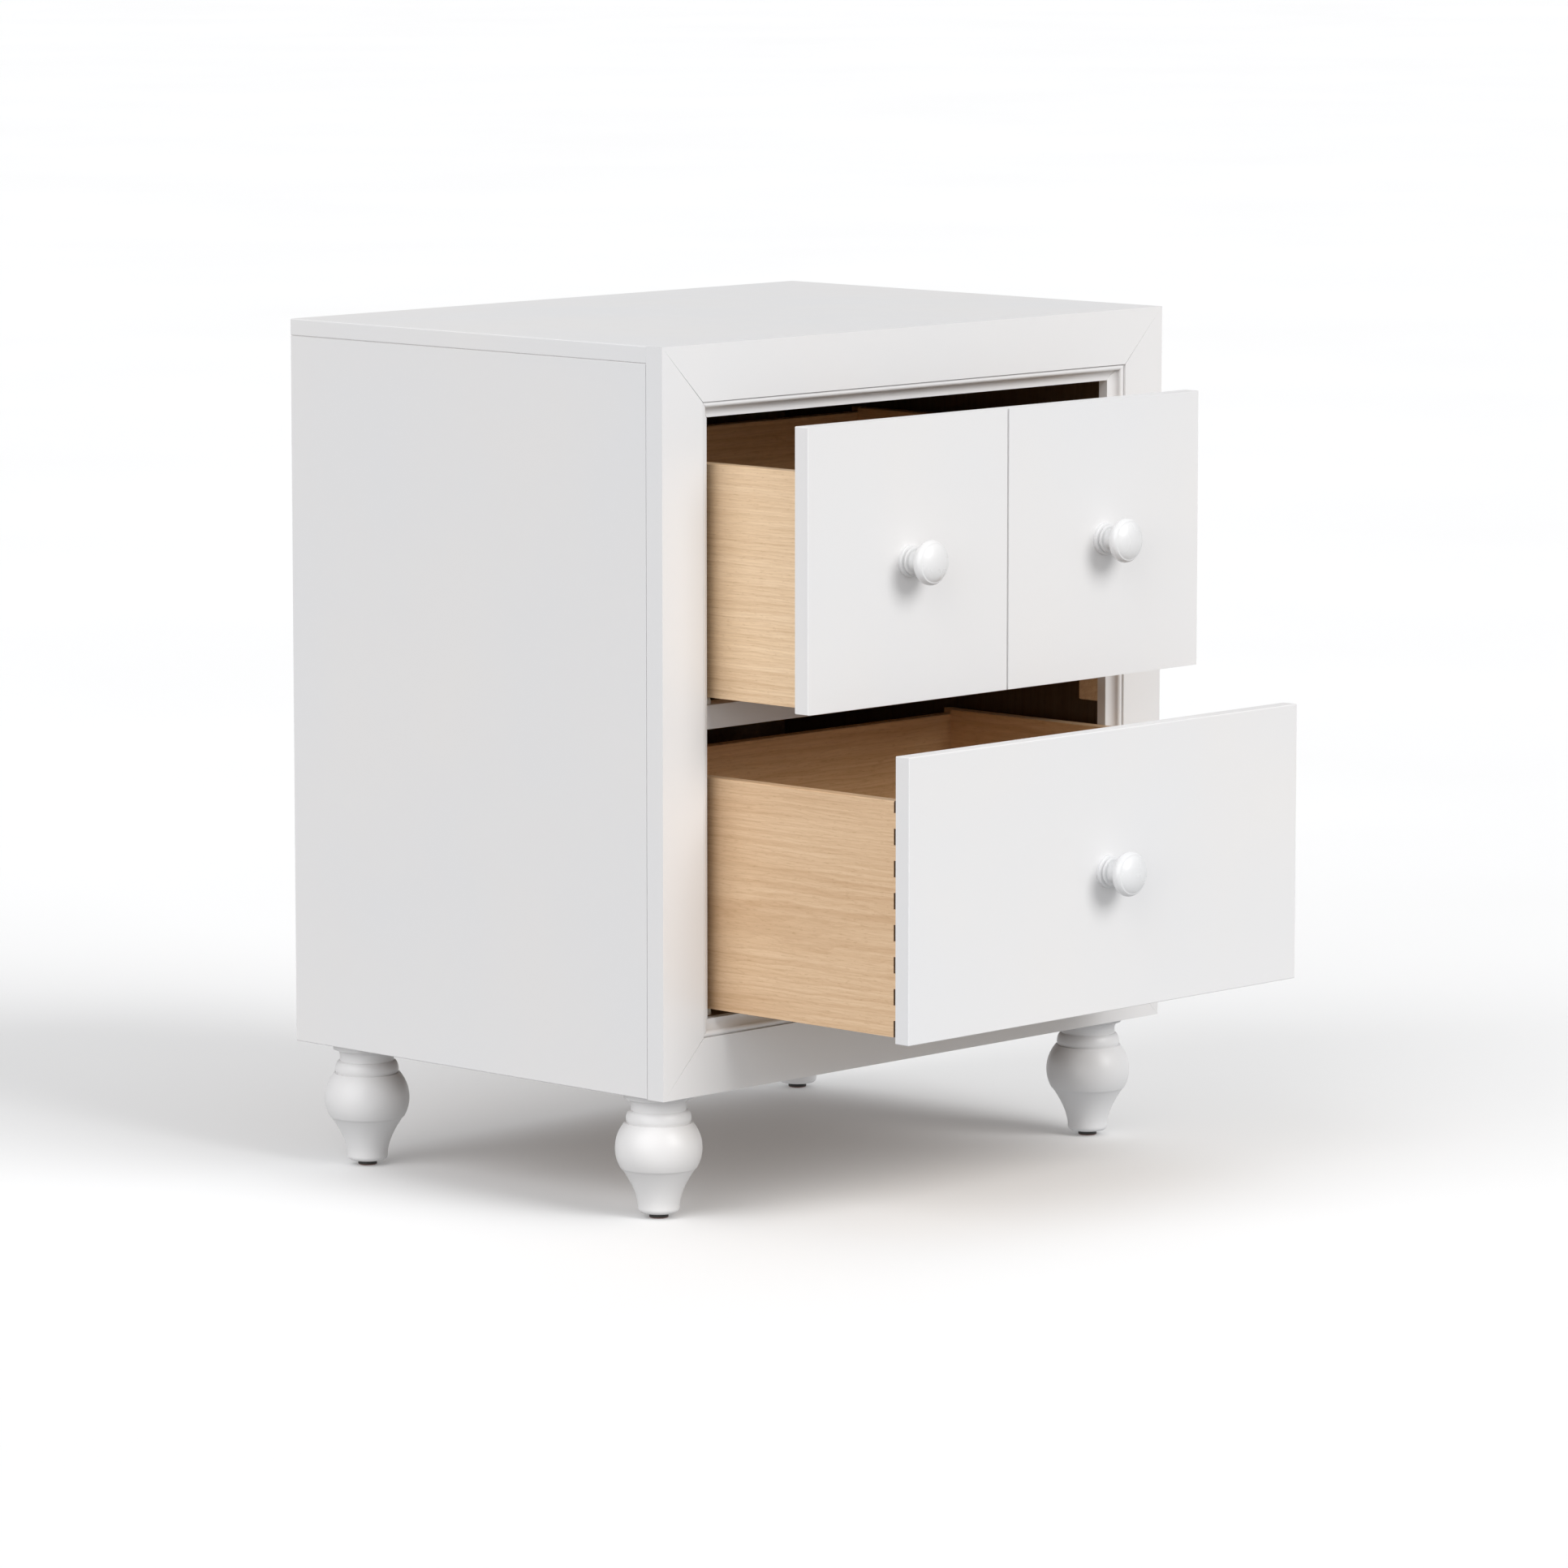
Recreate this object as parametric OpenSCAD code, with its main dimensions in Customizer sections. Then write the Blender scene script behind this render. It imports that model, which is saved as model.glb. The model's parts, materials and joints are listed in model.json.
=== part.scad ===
// Two-drawer nightstand: a painted case on four turned feet, with a mitred face frame
// and two inset drawers that ride on centre runners. Millimetres, +Z up, drawers open
// towards -Y, origin on the floor under the middle of the whole piece as it stands at rest.

/* [Case] */
// Width of the case and its face frame
case_w = 610; // [480:1:760]
// Depth of the case with its face frame
case_d = 438; // [350:1:560]
// Height of the case above its feet
case_h = 614; // [500:1:760]
// Thickness of the top panel
top_t = 14; // [12:0.5:25]
// Thickness of each side panel
side_t = 15; // [13:0.5:22]
// Thickness of the bottom panel
floor_t = 15; // [12:0.5:22]
// Thickness of the back panel
back_t = 5; // [3:0.5:9]
// How far the back panel is let into each side panel
back_rabbet = 7; // [5:0.5:9]

/* [Face frame] */
// Thickness of the face frame
frame_t = 18; // [15:0.5:25]
// Width of the flat part of each frame member
flat_w = 47; // [35:0.5:60]
// Radius of the bead beside the flat
bead_r = 2.5; // [1.5:0.1:3]
// How deep the bead sits in its groove
bead_drop = 3.5; // [2.5:0.1:4.5]
// Width of the hollow between the bead and the lip
cove_w = 6.5; // [4:0.5:10]
// Depth of the lip behind the frame's face
lip_drop = 9; // [6:0.5:11]
// Width of the lip at the opening
lip_w = 2; // [1:0.5:4]

/* [Rails and runners] */
// Height of the rails that carry the drawers
rail_h = 20; // [16:0.5:30]
// Depth of the front rails
front_rail_d = 22; // [18:0.5:40]
// Depth of the rear rails
rear_rail_d = 32; // [24:0.5:50]
// Gap between the divider rail and the edge of each drawer front
rail_reveal = 2; // [1:0.5:4]
// Width of the centre runners
runner_w = 19; // [14:0.5:26]
// Length of the glue blocks under the divider rail
rail_block_w = 45; // [30:1:60]
// Height of the glue blocks under the divider rail
rail_block_h = 20; // [12:1:24]

/* [Drawers] */
// Thickness of the drawer fronts
front_t = 15; // [13:0.5:18]
// Gap above and below the pair of fronts
front_reveal = 2; // [1:0.5:4]
// Gap at each side of a front
side_reveal = 5.5; // [2:0.5:8]
// How far the box stands in from each end of its front
box_inset = 2; // [1:0.5:6]
// How far the box stands above the lower edge of its front
box_lift = 5; // [3:0.5:10]
// How far the front stands above the box
box_drop = 36.5; // [20:0.5:60]
// How far the back of a box stands below its sides
back_drop = 4; // [0:0.5:10]
// Thickness of the box sides and back
board_t = 12; // [10:0.5:16]
// Thickness of the drawer bottoms
bottom_t = 5; // [3:0.5:8]
// Height of a drawer bottom above the lower edge of its box
bottom_up = 10; // [9:0.5:14]
// Depth of the grooves that hold the drawer bottoms
groove_d = 5; // [3:0.5:6]
// Free space behind a closed drawer
rear_space = 40; // [34:1:80]
// Distance between dovetails
tail_pitch = 25.9; // [20:0.1:40]
// Width of a dovetail at its root
tail_w = 12.5; // [8:0.5:18]
// Depth of the cut-back between the dovetails
tail_gap = 3.3; // [1:0.1:5]
// How deep the dovetails enter the front
tail_d = 8; // [5:0.5:10]
// Width of the groove that divides the upper front
divide_w = 2; // [1:0.1:4]
// Depth of the groove that divides the upper front
divide_d = 2; // [1:0.1:4]

/* [Rest pose and travel] */
// How far the upper drawer stands open at rest
upper_open = 99; // [0:1:120]
// How far the lower drawer stands open at rest
lower_open = 210; // [0:1:212]
// Length of box that stays in the case when a drawer is fully open
box_kept = 88; // [80:1:150]

/* [Knobs] */
// Radius of a knob's head
knob_r = 18.5; // [12:0.5:24]
// Radius of a knob's base
knob_base_r = 13.5; // [10:0.5:16]
// How far a knob's head centre stands off the front
knob_out = 24; // [20:0.5:32]
// Half the thickness of a knob's head
knob_half = 9.5; // [6:0.5:12]
// Radius of the knob screws
knob_screw_r = 2; // [1.5:0.1:2.5]

/* [Feet] */
// Height of the feet with their glides
foot_h = 106; // [96:1:130]
// Largest radius of a foot
foot_r = 36; // [30:0.5:40]
// Distance of a foot's axis from the side of the case
foot_in_x = 40; // [38:0.5:60]
// Distance of a foot's axis from the front and the back of the case
foot_in_y = 45; // [42:0.5:70]
// Thickness of the glides under the feet
glide_h = 4.3; // [3:0.1:8]
// Radius of the glides under the feet
glide_r = 8; // [6:0.5:12]
// Radius of the bolts that hold the feet
bolt_r = 4; // [3:0.5:5]

/* [Clearances] */
// Gap between parts that slide past each other
slide_gap = 0.5; // [0.3:0.1:1]
// Gap round dowels, screws and bolts in their holes
pin_gap = 0.05; // [0.02:0.01:0.2]
// Gap round dovetails and boards in their grooves
wood_gap = 0.1; // [0.05:0.05:0.3]

/* [Hidden] */
$fn = 48;
cut = 1;                                     // how far a cutting shape runs past a face

// Planes of the case; the drawers' reach at rest moves the case back from the origin
knob_rim = 0.6;                              // step between a knob's rim and its domed face
knob_l = knob_out + knob_half - knob_rim / 2;
reach = max(upper_open, lower_open) + knob_l;
front_y = (reach - case_d) / 2;
mid_y = front_y + case_d / 2;
back_y = front_y + case_d;
frame_back = front_y + frame_t;
back_in = back_y - back_t;
inner_x = case_w / 2 - side_t;
case_top = foot_h + case_h;
top_under = case_top - top_t;
floor_top = foot_h + floor_t;
frame_w = flat_w + 2 * bead_r + cove_w + lip_w;
open_top = case_top - frame_w;
open_low = foot_h + frame_w;
open_w = case_w - 2 * frame_w;

// Heights of the drawer fronts, the rails and the boxes
front_w = open_w - 2 * side_reveal;
front_h = (open_top - open_low - 2 * front_reveal - rail_h - 2 * rail_reveal) / 2;
lower_z = open_low + front_reveal;
upper_z = open_top - front_reveal - front_h;
upper_rail_top = upper_z - rail_reveal;
lower_rail_top = open_low;
front_back = front_y + front_t;
box_w = front_w - 2 * box_inset;
box_in = box_w / 2 - board_t;
box_h = front_h - box_lift - box_drop;
box_back = back_in - rear_space;
box_l = box_back - front_back;
travel = box_l - box_kept;

// The centre guides
runner_up = bottom_up - 3.5;                 // top of a runner above the lower edge of its box
leg_w = 10;
shoe_l = 34;
shoe_front = box_back - shoe_l;
peg_r = 4;
peg_y = shoe_front - travel - slide_gap - peg_r;
runner_start = frame_back + 3;

// Fasteners
dowel_r = 3;
dowel_in = 20;                               // how deep a dowel sits in the edge of a board
dowel_out = 9;                               // how deep it sits in the face of a board
screw_r = 1.5;
screw_head_r = 3.2;
back_screw_l = 18;
shoe_screw_l = 24;
runner_screw_r = 2;
runner_screw_in = 12;                        // how deep a runner screw enters its rail
brad_r = 0.8;
side_brad_l = 28;
bottom_brad_l = 22;
nail_r = 1;
nail_l = 10;
glide_nail_r = 1.2;
glide_nail_l = 14;
end_inset = 40;                              // from the outer dowels of a panel to its ends
foot_xs = [-case_w / 2 + foot_in_x, case_w / 2 - foot_in_x];
foot_ys = [front_y + foot_in_y, back_y - foot_in_y];
block_l = 60;
insert_r = 6;
insert_l = 15;
front_rail_y = [frame_back, frame_back + front_rail_d];
rear_rail_y = [back_in - rear_rail_d, back_in];
rail_ys = [front_rail_y, rear_rail_y];
rail_tops = [upper_rail_top, lower_rail_top];

// The board between two opposite corners
module board(low, high) {
    translate(low) cube(high - low);
}

// A countersunk screw along +Z with its head's face at z = 0
module screw(length, r, head_r, gap = 0) {
    cylinder(h = length + gap, r = r + gap);
    cylinder(h = head_r - r + gap, r1 = head_r + gap, r2 = r);
}

// Places dowels across the joint between each side panel and the boards inside it
module side_dowel_places(side) {
    edge = dowel_r + 3;
    for (y = rail_ys, z = rail_tops, end = [y[0] + edge, y[1] - edge])
        translate([side * inner_x, end, z - rail_h / 2]) children();
    for (y = [frame_back + end_inset, mid_y, back_in - end_inset])
        translate([side * inner_x, y, foot_h + floor_t / 2]) children();
}

module side_dowels(side, gap = 0) {
    side_dowel_places(side)
        rotate([0, 90, 0])
            translate([0, 0, side > 0 ? -dowel_in - gap : -dowel_out - gap])
                cylinder(h = dowel_in + dowel_out + 2 * gap, r = dowel_r + gap);
}

module top_dowels(side, gap = 0) {
    for (y = [frame_back + end_inset, mid_y, back_in - end_inset])
        translate([side * (inner_x + side_t / 2), y, top_under - dowel_in - gap])
            cylinder(h = dowel_in + dowel_out + 2 * gap, r = dowel_r + gap);
}

// Dowels from the back of the face frame into the edges of the case
module frame_dowel(gap) {
    translate([0, -dowel_out - gap, 0])
        rotate([-90, 0, 0])
            cylinder(h = dowel_in + dowel_out + 2 * gap, r = dowel_r + gap);
}

module frame_side_dowels(side, gap = 0) {
    for (share = [0.15, 0.38, 0.62, 0.85])
        translate([side * (inner_x + side_t / 2), frame_back, foot_h + share * case_h])
            frame_dowel(gap);
}

module frame_end_dowels(z, gap = 0) {
    for (share = [-0.3, 0, 0.3])
        translate([share * case_w, frame_back, z]) frame_dowel(gap);
}

// Screws through the back panel
module back_screw(gap) {
    rotate([90, 0, 0]) screw(back_screw_l, screw_r, screw_head_r, gap);
}

module back_screws_side(side, gap = 0) {
    for (share = [0.06, 0.28, 0.5, 0.72, 0.94])
        translate([side * (inner_x + back_rabbet / 2), back_y, foot_h + share * (case_h - top_t)])
            back_screw(gap);
}

module back_screws_row(z, gap = 0) {
    for (share = [-0.25, 0, 0.25])
        translate([share * case_w, back_y, z]) back_screw(gap);
}

module all_back_screws(gap = 0) {
    for (side = [-1, 1]) back_screws_side(side, gap);
    for (z = rail_tops) back_screws_row(z - rail_h / 2, gap);
    back_screws_row(foot_h + floor_t / 2, gap);
}

// Case panels
module top_panel() {
    color("white") difference() {
        board([-case_w / 2, frame_back, top_under], [case_w / 2, back_y, case_top]);
        for (side = [-1, 1]) top_dowels(side, pin_gap);
        frame_end_dowels(case_top - top_t / 2, pin_gap);
    }
}

module side_panel(side) {
    color("white") difference() {
        board([min(side * inner_x, side * case_w / 2), frame_back, foot_h],
              [max(side * inner_x, side * case_w / 2), back_y, top_under]);
        board([min(side * (inner_x - cut), side * (inner_x + back_rabbet)), back_in, foot_h - cut],
              [max(side * (inner_x - cut), side * (inner_x + back_rabbet)), back_y + cut,
               top_under + cut]);
        side_dowels(side, pin_gap);
        top_dowels(side, pin_gap);
        frame_side_dowels(side, pin_gap);
        back_screws_side(side, pin_gap);
    }
}

module left_side_panel() { side_panel(-1); }
module right_side_panel() { side_panel(1); }

module back_panel() {
    half = inner_x + back_rabbet;
    color("saddlebrown") difference() {
        board([-half, back_in, foot_h], [half, back_y, top_under]);
        all_back_screws(pin_gap);
    }
}

module bottom_panel() {
    color("saddlebrown") difference() {
        board([-inner_x, frame_back, foot_h], [inner_x, back_in, floor_top]);
        for (side = [-1, 1]) side_dowels(side, pin_gap);
        frame_end_dowels(foot_h + floor_t / 2, pin_gap);
        back_screws_row(foot_h + floor_t / 2, pin_gap);
        for (x = foot_xs, y = foot_ys)
            translate([x, y, foot_h - cut]) cylinder(h = floor_t + 2 * cut, r = bolt_r + slide_gap);
    }
}

// Cross-section of a frame member: width inwards from its outer edge, depth from its face
function arc(centre, rx, ry, from, to, steps) =
    [for (i = [0:steps]) let (a = from + (to - from) * i / steps)
        centre + [rx * cos(a), ry * sin(a)]];

moulding = concat(
    [[0, frame_t], [0, 0], [flat_w, 0]],
    arc([flat_w + bead_r, bead_drop], bead_r, bead_r, 180, 360, 8),
    arc([frame_w - lip_w, bead_drop], cove_w, lip_drop - bead_drop, 165, 90, 5),
    [[frame_w, lip_drop], [frame_w, frame_t]]);

// A member of the given length: width along +X, depth along +Y and length along +Z
module member(length) {
    linear_extrude(height = length) polygon(moulding);
}

// The mitred area of a member that lies along the +Z axis
module mitre(length) {
    translate([0, frame_t + cut, 0]) rotate([90, 0, 0])
        linear_extrude(height = frame_t + 2 * cut)
            polygon([[0, 0], [frame_w, frame_w], [frame_w, length - frame_w], [0, length]]);
}

module mitred_member(length) {
    intersection() {
        member(length);
        mitre(length);
    }
}

module frame_stile(side) {
    color("white") difference() {
        mirror([side > 0 ? 1 : 0, 0, 0])
            translate([-case_w / 2, front_y, foot_h]) mitred_member(case_h);
        frame_side_dowels(side, pin_gap);
    }
}

module frame_left_stile() { frame_stile(-1); }
module frame_right_stile() { frame_stile(1); }

module frame_top_rail() {
    color("white") difference() {
        translate([-case_w / 2, front_y, case_top]) rotate([0, 90, 0]) mitred_member(case_w);
        frame_end_dowels(case_top - top_t / 2, pin_gap);
    }
}

module frame_bottom_rail() {
    color("white") difference() {
        translate([-case_w / 2, front_y, foot_h])
            mirror([0, 0, 1]) rotate([0, 90, 0]) mitred_member(case_w);
        frame_end_dowels(foot_h + floor_t / 2, pin_gap);
    }
}

// Rails across the case
module runner_screw_places() {
    for (y = [front_rail_y[0] + front_rail_d / 2, rear_rail_y[1] - rear_rail_d / 2])
        translate([0, y, 0]) children();
}

module runner_screws_at(rail_top, gap = 0) {
    top = rail_top + rail_to_runner;
    runner_screw_places()
        translate([0, 0, top]) rotate([180, 0, 0])
            screw(rail_to_runner + runner_screw_in, runner_screw_r, 2 * runner_screw_r, gap);
}

rail_to_box = rail_reveal + box_lift;        // from the top of a rail to the lower edge of its box
rail_to_runner = rail_to_box + runner_up;    // height of a runner above its rails
button_r = 8;
button_h = rail_to_box - slide_gap;
button_xs = [-box_w / 2 + board_t / 2, box_w / 2 - board_t / 2];

module rail_button_nails(rail_top, gap = 0) {
    for (x = button_xs)
        translate([x, front_rail_y[0] + front_rail_d / 2, rail_top - nail_l - gap])
            cylinder(h = nail_l + gap, r = nail_r + gap);
}

module front_rail(rail_top, paint) {
    color(paint) difference() {
        board([-inner_x, front_rail_y[0], rail_top - rail_h], [inner_x, front_rail_y[1], rail_top]);
        for (side = [-1, 1]) side_dowels(side, pin_gap);
        runner_screws_at(rail_top, pin_gap);
        rail_button_nails(rail_top, pin_gap);
    }
}

module rear_rail(rail_top) {
    color("saddlebrown") difference() {
        board([-inner_x, rear_rail_y[0], rail_top - rail_h], [inner_x, rear_rail_y[1], rail_top]);
        for (side = [-1, 1]) side_dowels(side, pin_gap);
        runner_screws_at(rail_top, pin_gap);
        back_screws_row(rail_top - rail_h / 2, pin_gap);
    }
}

module divider_rail() { front_rail(upper_rail_top, "white"); }
module lower_front_rail() { front_rail(lower_rail_top, "saddlebrown"); }
module upper_rear_rail() { rear_rail(upper_rail_top); }
module lower_rear_rail() { rear_rail(lower_rail_top); }

// Centre runner with the peg that stops its drawer
module pegs_at(rail_top, gap = 0) {
    translate([0, peg_y, rail_top + rail_to_runner - peg_r - gap])
        cylinder(h = peg_r + gap + bottom_up - runner_up - slide_gap, r = peg_r + gap);
}

module runner(rail_top) {
    color("burlywood") difference() {
        board([-runner_w / 2, runner_start, rail_top],
              [runner_w / 2, back_in, rail_top + rail_to_runner]);
        runner_screws_at(rail_top, pin_gap);
        pegs_at(rail_top, pin_gap);
    }
}

module upper_runner() { runner(upper_rail_top); }
module lower_runner() { runner(lower_rail_top); }

module runner_pegs() {
    color("ivory") for (z = rail_tops) pegs_at(z);
}

module runner_screws() {
    color("goldenrod") for (z = rail_tops) runner_screws_at(z);
}

// Nylon buttons on the front rails, on which the box sides slide
module rail_buttons() {
    color("ivory") for (z = rail_tops) {
        for (x = button_xs)
            translate([x, front_rail_y[0] + front_rail_d / 2, z])
                cylinder(h = button_h, r1 = button_r, r2 = button_r - 2);
        rail_button_nails(z);
    }
}

module rail_blocks() {
    low = upper_rail_top - rail_h - rail_block_h;
    color("burlywood") for (side = [-1, 1])
        board([side > 0 ? inner_x - rail_block_w : -inner_x, front_rail_y[0], low],
              [side > 0 ? inner_x : -inner_x + rail_block_w, front_rail_y[1], low + rail_block_h]);
}

// Blocks behind the boxes that stop the closed drawers
module rear_stops() {
    stop_w = 30;
    stop_h = rail_to_box + bottom_up + bottom_t + 18;
    color("saddlebrown") for (z = rail_tops, x = [-box_w / 5, box_w / 5])
        board([x - stop_w / 2, box_back + slide_gap, z], [x + stop_w / 2, back_in, z + stop_h]);
}

module panel_dowels() {
    color("burlywood") for (side = [-1, 1]) {
        side_dowels(side);
        top_dowels(side);
    }
}

module frame_dowels() {
    color("burlywood") {
        for (side = [-1, 1]) frame_side_dowels(side);
        frame_end_dowels(case_top - top_t / 2);
        frame_end_dowels(foot_h + floor_t / 2);
    }
}

module back_screws() {
    color("goldenrod") all_back_screws();
}

// Feet with their blocks, inserts, bolts and glides
block_top = lower_rail_top - rail_h;
insert_top = floor_top + insert_l;

module foot_blocks() {
    color("saddlebrown") difference() {
        for (side = [-1, 1], y = [frame_back, back_in - block_l])
            board([side > 0 ? inner_x - block_l : -inner_x, y, floor_top],
                  [side > 0 ? inner_x : -inner_x + block_l, y + block_l, block_top]);
        for (x = foot_xs, y = foot_ys) translate([x, y, 0]) {
            translate([0, 0, floor_top - cut]) cylinder(h = insert_l + cut, r = insert_r + pin_gap);
            translate([0, 0, floor_top]) cylinder(h = insert_l + 5, r = bolt_r + slide_gap);
        }
    }
}

module foot_inserts() {
    color("goldenrod") for (x = foot_xs, y = foot_ys) translate([x, y, floor_top]) difference() {
        cylinder(h = insert_l, r = insert_r);
        translate([0, 0, -cut]) cylinder(h = insert_l + 2 * cut, r = bolt_r + pin_gap);
    }
}

bolt_in_foot = 30;

module foot_bolts() {
    color("silver") for (x = foot_xs, y = foot_ys)
        translate([x, y, foot_h - bolt_in_foot])
            cylinder(h = bolt_in_foot + floor_t + insert_l, r = bolt_r);
}

// Turned outline of a foot, from its base up
base_r = 17.2;
base_round = 4;
crease_z = foot_h - 64;                      // where the taper runs into the belly
crease_r = foot_r - 4.5;
belly_z = foot_h - 48;
belly_half = 34;
ring_z = foot_h - 26.7;
ring_r = foot_r - 9;
neck_r = foot_r - 13;
neck_z = foot_h - 16;
collar_r = foot_r - 7.3;
collar_z = foot_h - 6;
taper_start = glide_h + base_round + 1;
belly_from = -asin((belly_z - crease_z) / belly_half);
belly_to = asin((ring_z - belly_z) / belly_half);

foot_outline = concat(
    [[0, glide_h], [base_r - base_round, glide_h]],
    arc([base_r - base_round, glide_h + base_round], base_round, base_round, -72, 0, 4),
    [for (i = [0:8]) let (t = i / 8)
        [base_r + (crease_r - base_r) * pow(t, 1.7), taper_start + (crease_z - taper_start) * t]],
    arc([0, belly_z], foot_r, belly_half, belly_from, belly_to, 14),
    [[ring_r - 0.6, ring_z]],
    arc([neck_r, ring_z + 2.7], ring_r - neck_r, neck_z - ring_z - 2.7, 0, 90, 6),
    arc([collar_r, neck_z + 4], collar_r - neck_r, collar_z - neck_z - 4, 180, 90, 6),
    [[collar_r, foot_h], [0, foot_h]]);

module foot(x, y) {
    color("white") translate([x, y, 0]) difference() {
        rotate_extrude($fn = 96) polygon(foot_outline);
        translate([0, 0, foot_h - bolt_in_foot - pin_gap])
            cylinder(h = bolt_in_foot + cut, r = bolt_r + pin_gap);
        translate([0, 0, glide_h - cut])
            cylinder(h = glide_nail_l + cut + pin_gap, r = glide_nail_r + pin_gap);
    }
}

module front_left_foot() { foot(foot_xs[0], foot_ys[0]); }
module front_right_foot() { foot(foot_xs[1], foot_ys[0]); }
module rear_left_foot() { foot(foot_xs[0], foot_ys[1]); }
module rear_right_foot() { foot(foot_xs[1], foot_ys[1]); }

module foot_glides() {
    color("black") for (x = foot_xs, y = foot_ys) translate([x, y, 0]) {
        cylinder(h = glide_h, r = glide_r);
        cylinder(h = glide_h + glide_nail_l, r = glide_nail_r);
    }
}

// Dovetails: their outline in a plane along the drawer, with the root at y = 0
tail_count = floor((box_h - tail_w) / tail_pitch);
tail_flare = 1.2;
tail_shift = 1.9;                            // how far the row stands above the middle

module tails(z, gap = 0) {
    root = front_back + tail_gap;
    first = z + box_lift + tail_shift + (box_h - (tail_count - 1) * tail_pitch) / 2;
    for (side = [-1, 1], i = [0:tail_count - 1])
        translate([side * (box_w / 2 - board_t / 2), root, first + i * tail_pitch])
            rotate([90, 0, 90])
                linear_extrude(height = board_t + 2 * gap, center = true)
                    polygon([[cut, -tail_w / 2 - gap], [cut, tail_w / 2 + gap],
                             [0, tail_w / 2 + gap],
                             [-tail_gap - tail_d - gap, tail_w / 2 + tail_flare + gap],
                             [-tail_gap - tail_d - gap, -tail_w / 2 - tail_flare - gap],
                             [0, -tail_w / 2 - gap]]);
}

// Screws that hold the knobs, with their heads inside the drawer
module knob_screw(x, z, gap = 0) {
    translate([x, front_back, z + front_h / 2]) rotate([90, 0, 0])
        cylinder(h = front_t + knob_screw_in + gap, r = knob_screw_r + gap);
}

knob_screw_in = 12;                          // how deep a knob screw enters its knob
knob_screw_head = 2.4;

module knob_screws_at(xs, z) {
    for (x = xs) {
        knob_screw(x, z);
        translate([x, front_back + knob_screw_head, z + front_h / 2]) rotate([90, 0, 0])
            cylinder(h = knob_screw_head, r1 = 4, r2 = 5);
    }
}

module drawer_front(z, xs) {
    color("white") difference() {
        board([-front_w / 2, front_y, z], [front_w / 2, front_back, z + front_h]);
        tails(z, wood_gap);
        board([-box_in - groove_d, front_back - groove_d, z + box_lift + bottom_up],
              [box_in + groove_d, front_back + cut, z + box_lift + bottom_up + bottom_t + wood_gap]);
        for (x = xs) knob_screw(x, z, pin_gap);
    }
}

module box_side(side, z) {
    low = z + box_lift;
    outer = side * box_w / 2;
    inner = side * box_in;
    groove = side * (box_in + groove_d);
    color("burlywood") difference() {
        union() {
            board([min(outer, inner), front_back + tail_gap, low],
                  [max(outer, inner), box_back, low + box_h]);
            intersection() {
                tails(z);
                board([min(outer, inner), front_y, low], [max(outer, inner), box_back, low + box_h]);
            }
        }
        board([min(inner - side * cut, groove), front_y, low + bottom_up],
              [max(inner - side * cut, groove), box_back + cut, low + bottom_up + bottom_t + wood_gap]);
        board([min(inner - side * cut, groove), box_back - board_t, low + bottom_up],
              [max(inner - side * cut, groove), box_back + cut, low + box_h + cut]);
        side_brads(side, z, pin_gap);
    }
}

module box_back_board(z) {
    low = z + box_lift;
    color("burlywood") difference() {
        board([-box_in - groove_d, box_back - board_t, low + bottom_up + bottom_t],
              [box_in + groove_d, box_back, low + box_h - back_drop]);
        for (side = [-1, 1]) side_brads(side, z, pin_gap);
        bottom_brads(z, pin_gap);
        shoe_screws(z, pin_gap);
    }
}

module box_bottom(z) {
    low = z + box_lift + bottom_up;
    color("wheat") difference() {
        board([-box_in - groove_d, front_back - groove_d, low],
              [box_in + groove_d, box_back, low + bottom_t]);
        bottom_brads(z, pin_gap);
        shoe_screws(z, pin_gap);
    }
}

module side_brads(side, z, gap = 0) {
    for (share = [0.2, 0.5, 0.8])
        translate([side * box_w / 2, box_back - board_t / 2, z + box_lift + bottom_up + share * box_h])
            rotate([0, -side * 90, 0]) cylinder(h = side_brad_l + gap, r = brad_r + gap);
}

module bottom_brads(z, gap = 0) {
    for (share = [-0.35, 0.35])
        translate([share * box_w, box_back - board_t / 2, z + box_lift + bottom_up])
            cylinder(h = bottom_brad_l + gap, r = brad_r + gap);
}

// The guide under a drawer: two strips and, behind them, the shoe that rides on the runner
leg_low = slide_gap;
leg_in = runner_w / 2 + slide_gap;

module guide_strips(z) {
    low = z + box_lift;
    color("burlywood") for (side = [-1, 1])
        board([side > 0 ? leg_in : -leg_in - leg_w, front_back, low + leg_low],
              [side > 0 ? leg_in + leg_w : -leg_in, shoe_front, low + bottom_up]);
}

module shoe_screws(z, gap = 0) {
    for (side = [-1, 1])
        translate([side * (leg_in + leg_w / 2), box_back - board_t / 2, z + box_lift + leg_low])
            screw(shoe_screw_l, screw_r, screw_head_r, gap);
}

module shoe(z) {
    low = z + box_lift;
    color("ivory") difference() {
        board([-leg_in - leg_w, shoe_front, low + leg_low],
              [leg_in + leg_w, box_back, low + bottom_up]);
        board([-leg_in, shoe_front - cut, low + leg_low - cut],
              [leg_in, box_back + cut, low + runner_up + slide_gap]);
        shoe_screws(z, pin_gap);
    }
}

module brads(z) {
    color("silver") {
        for (side = [-1, 1]) side_brads(side, z);
        bottom_brads(z);
    }
}

// Turned outline of a knob, outwards from the drawer front
knob_ring_r = knob_base_r - 2;
knob_neck_r = 7.6;
knob_neck_z = knob_out - knob_half - 4;
knob_join_r = 9;                             // where the head meets the neck
knob_head_from = -asin(sqrt(1 - pow(knob_join_r / knob_r, 2)));

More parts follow.
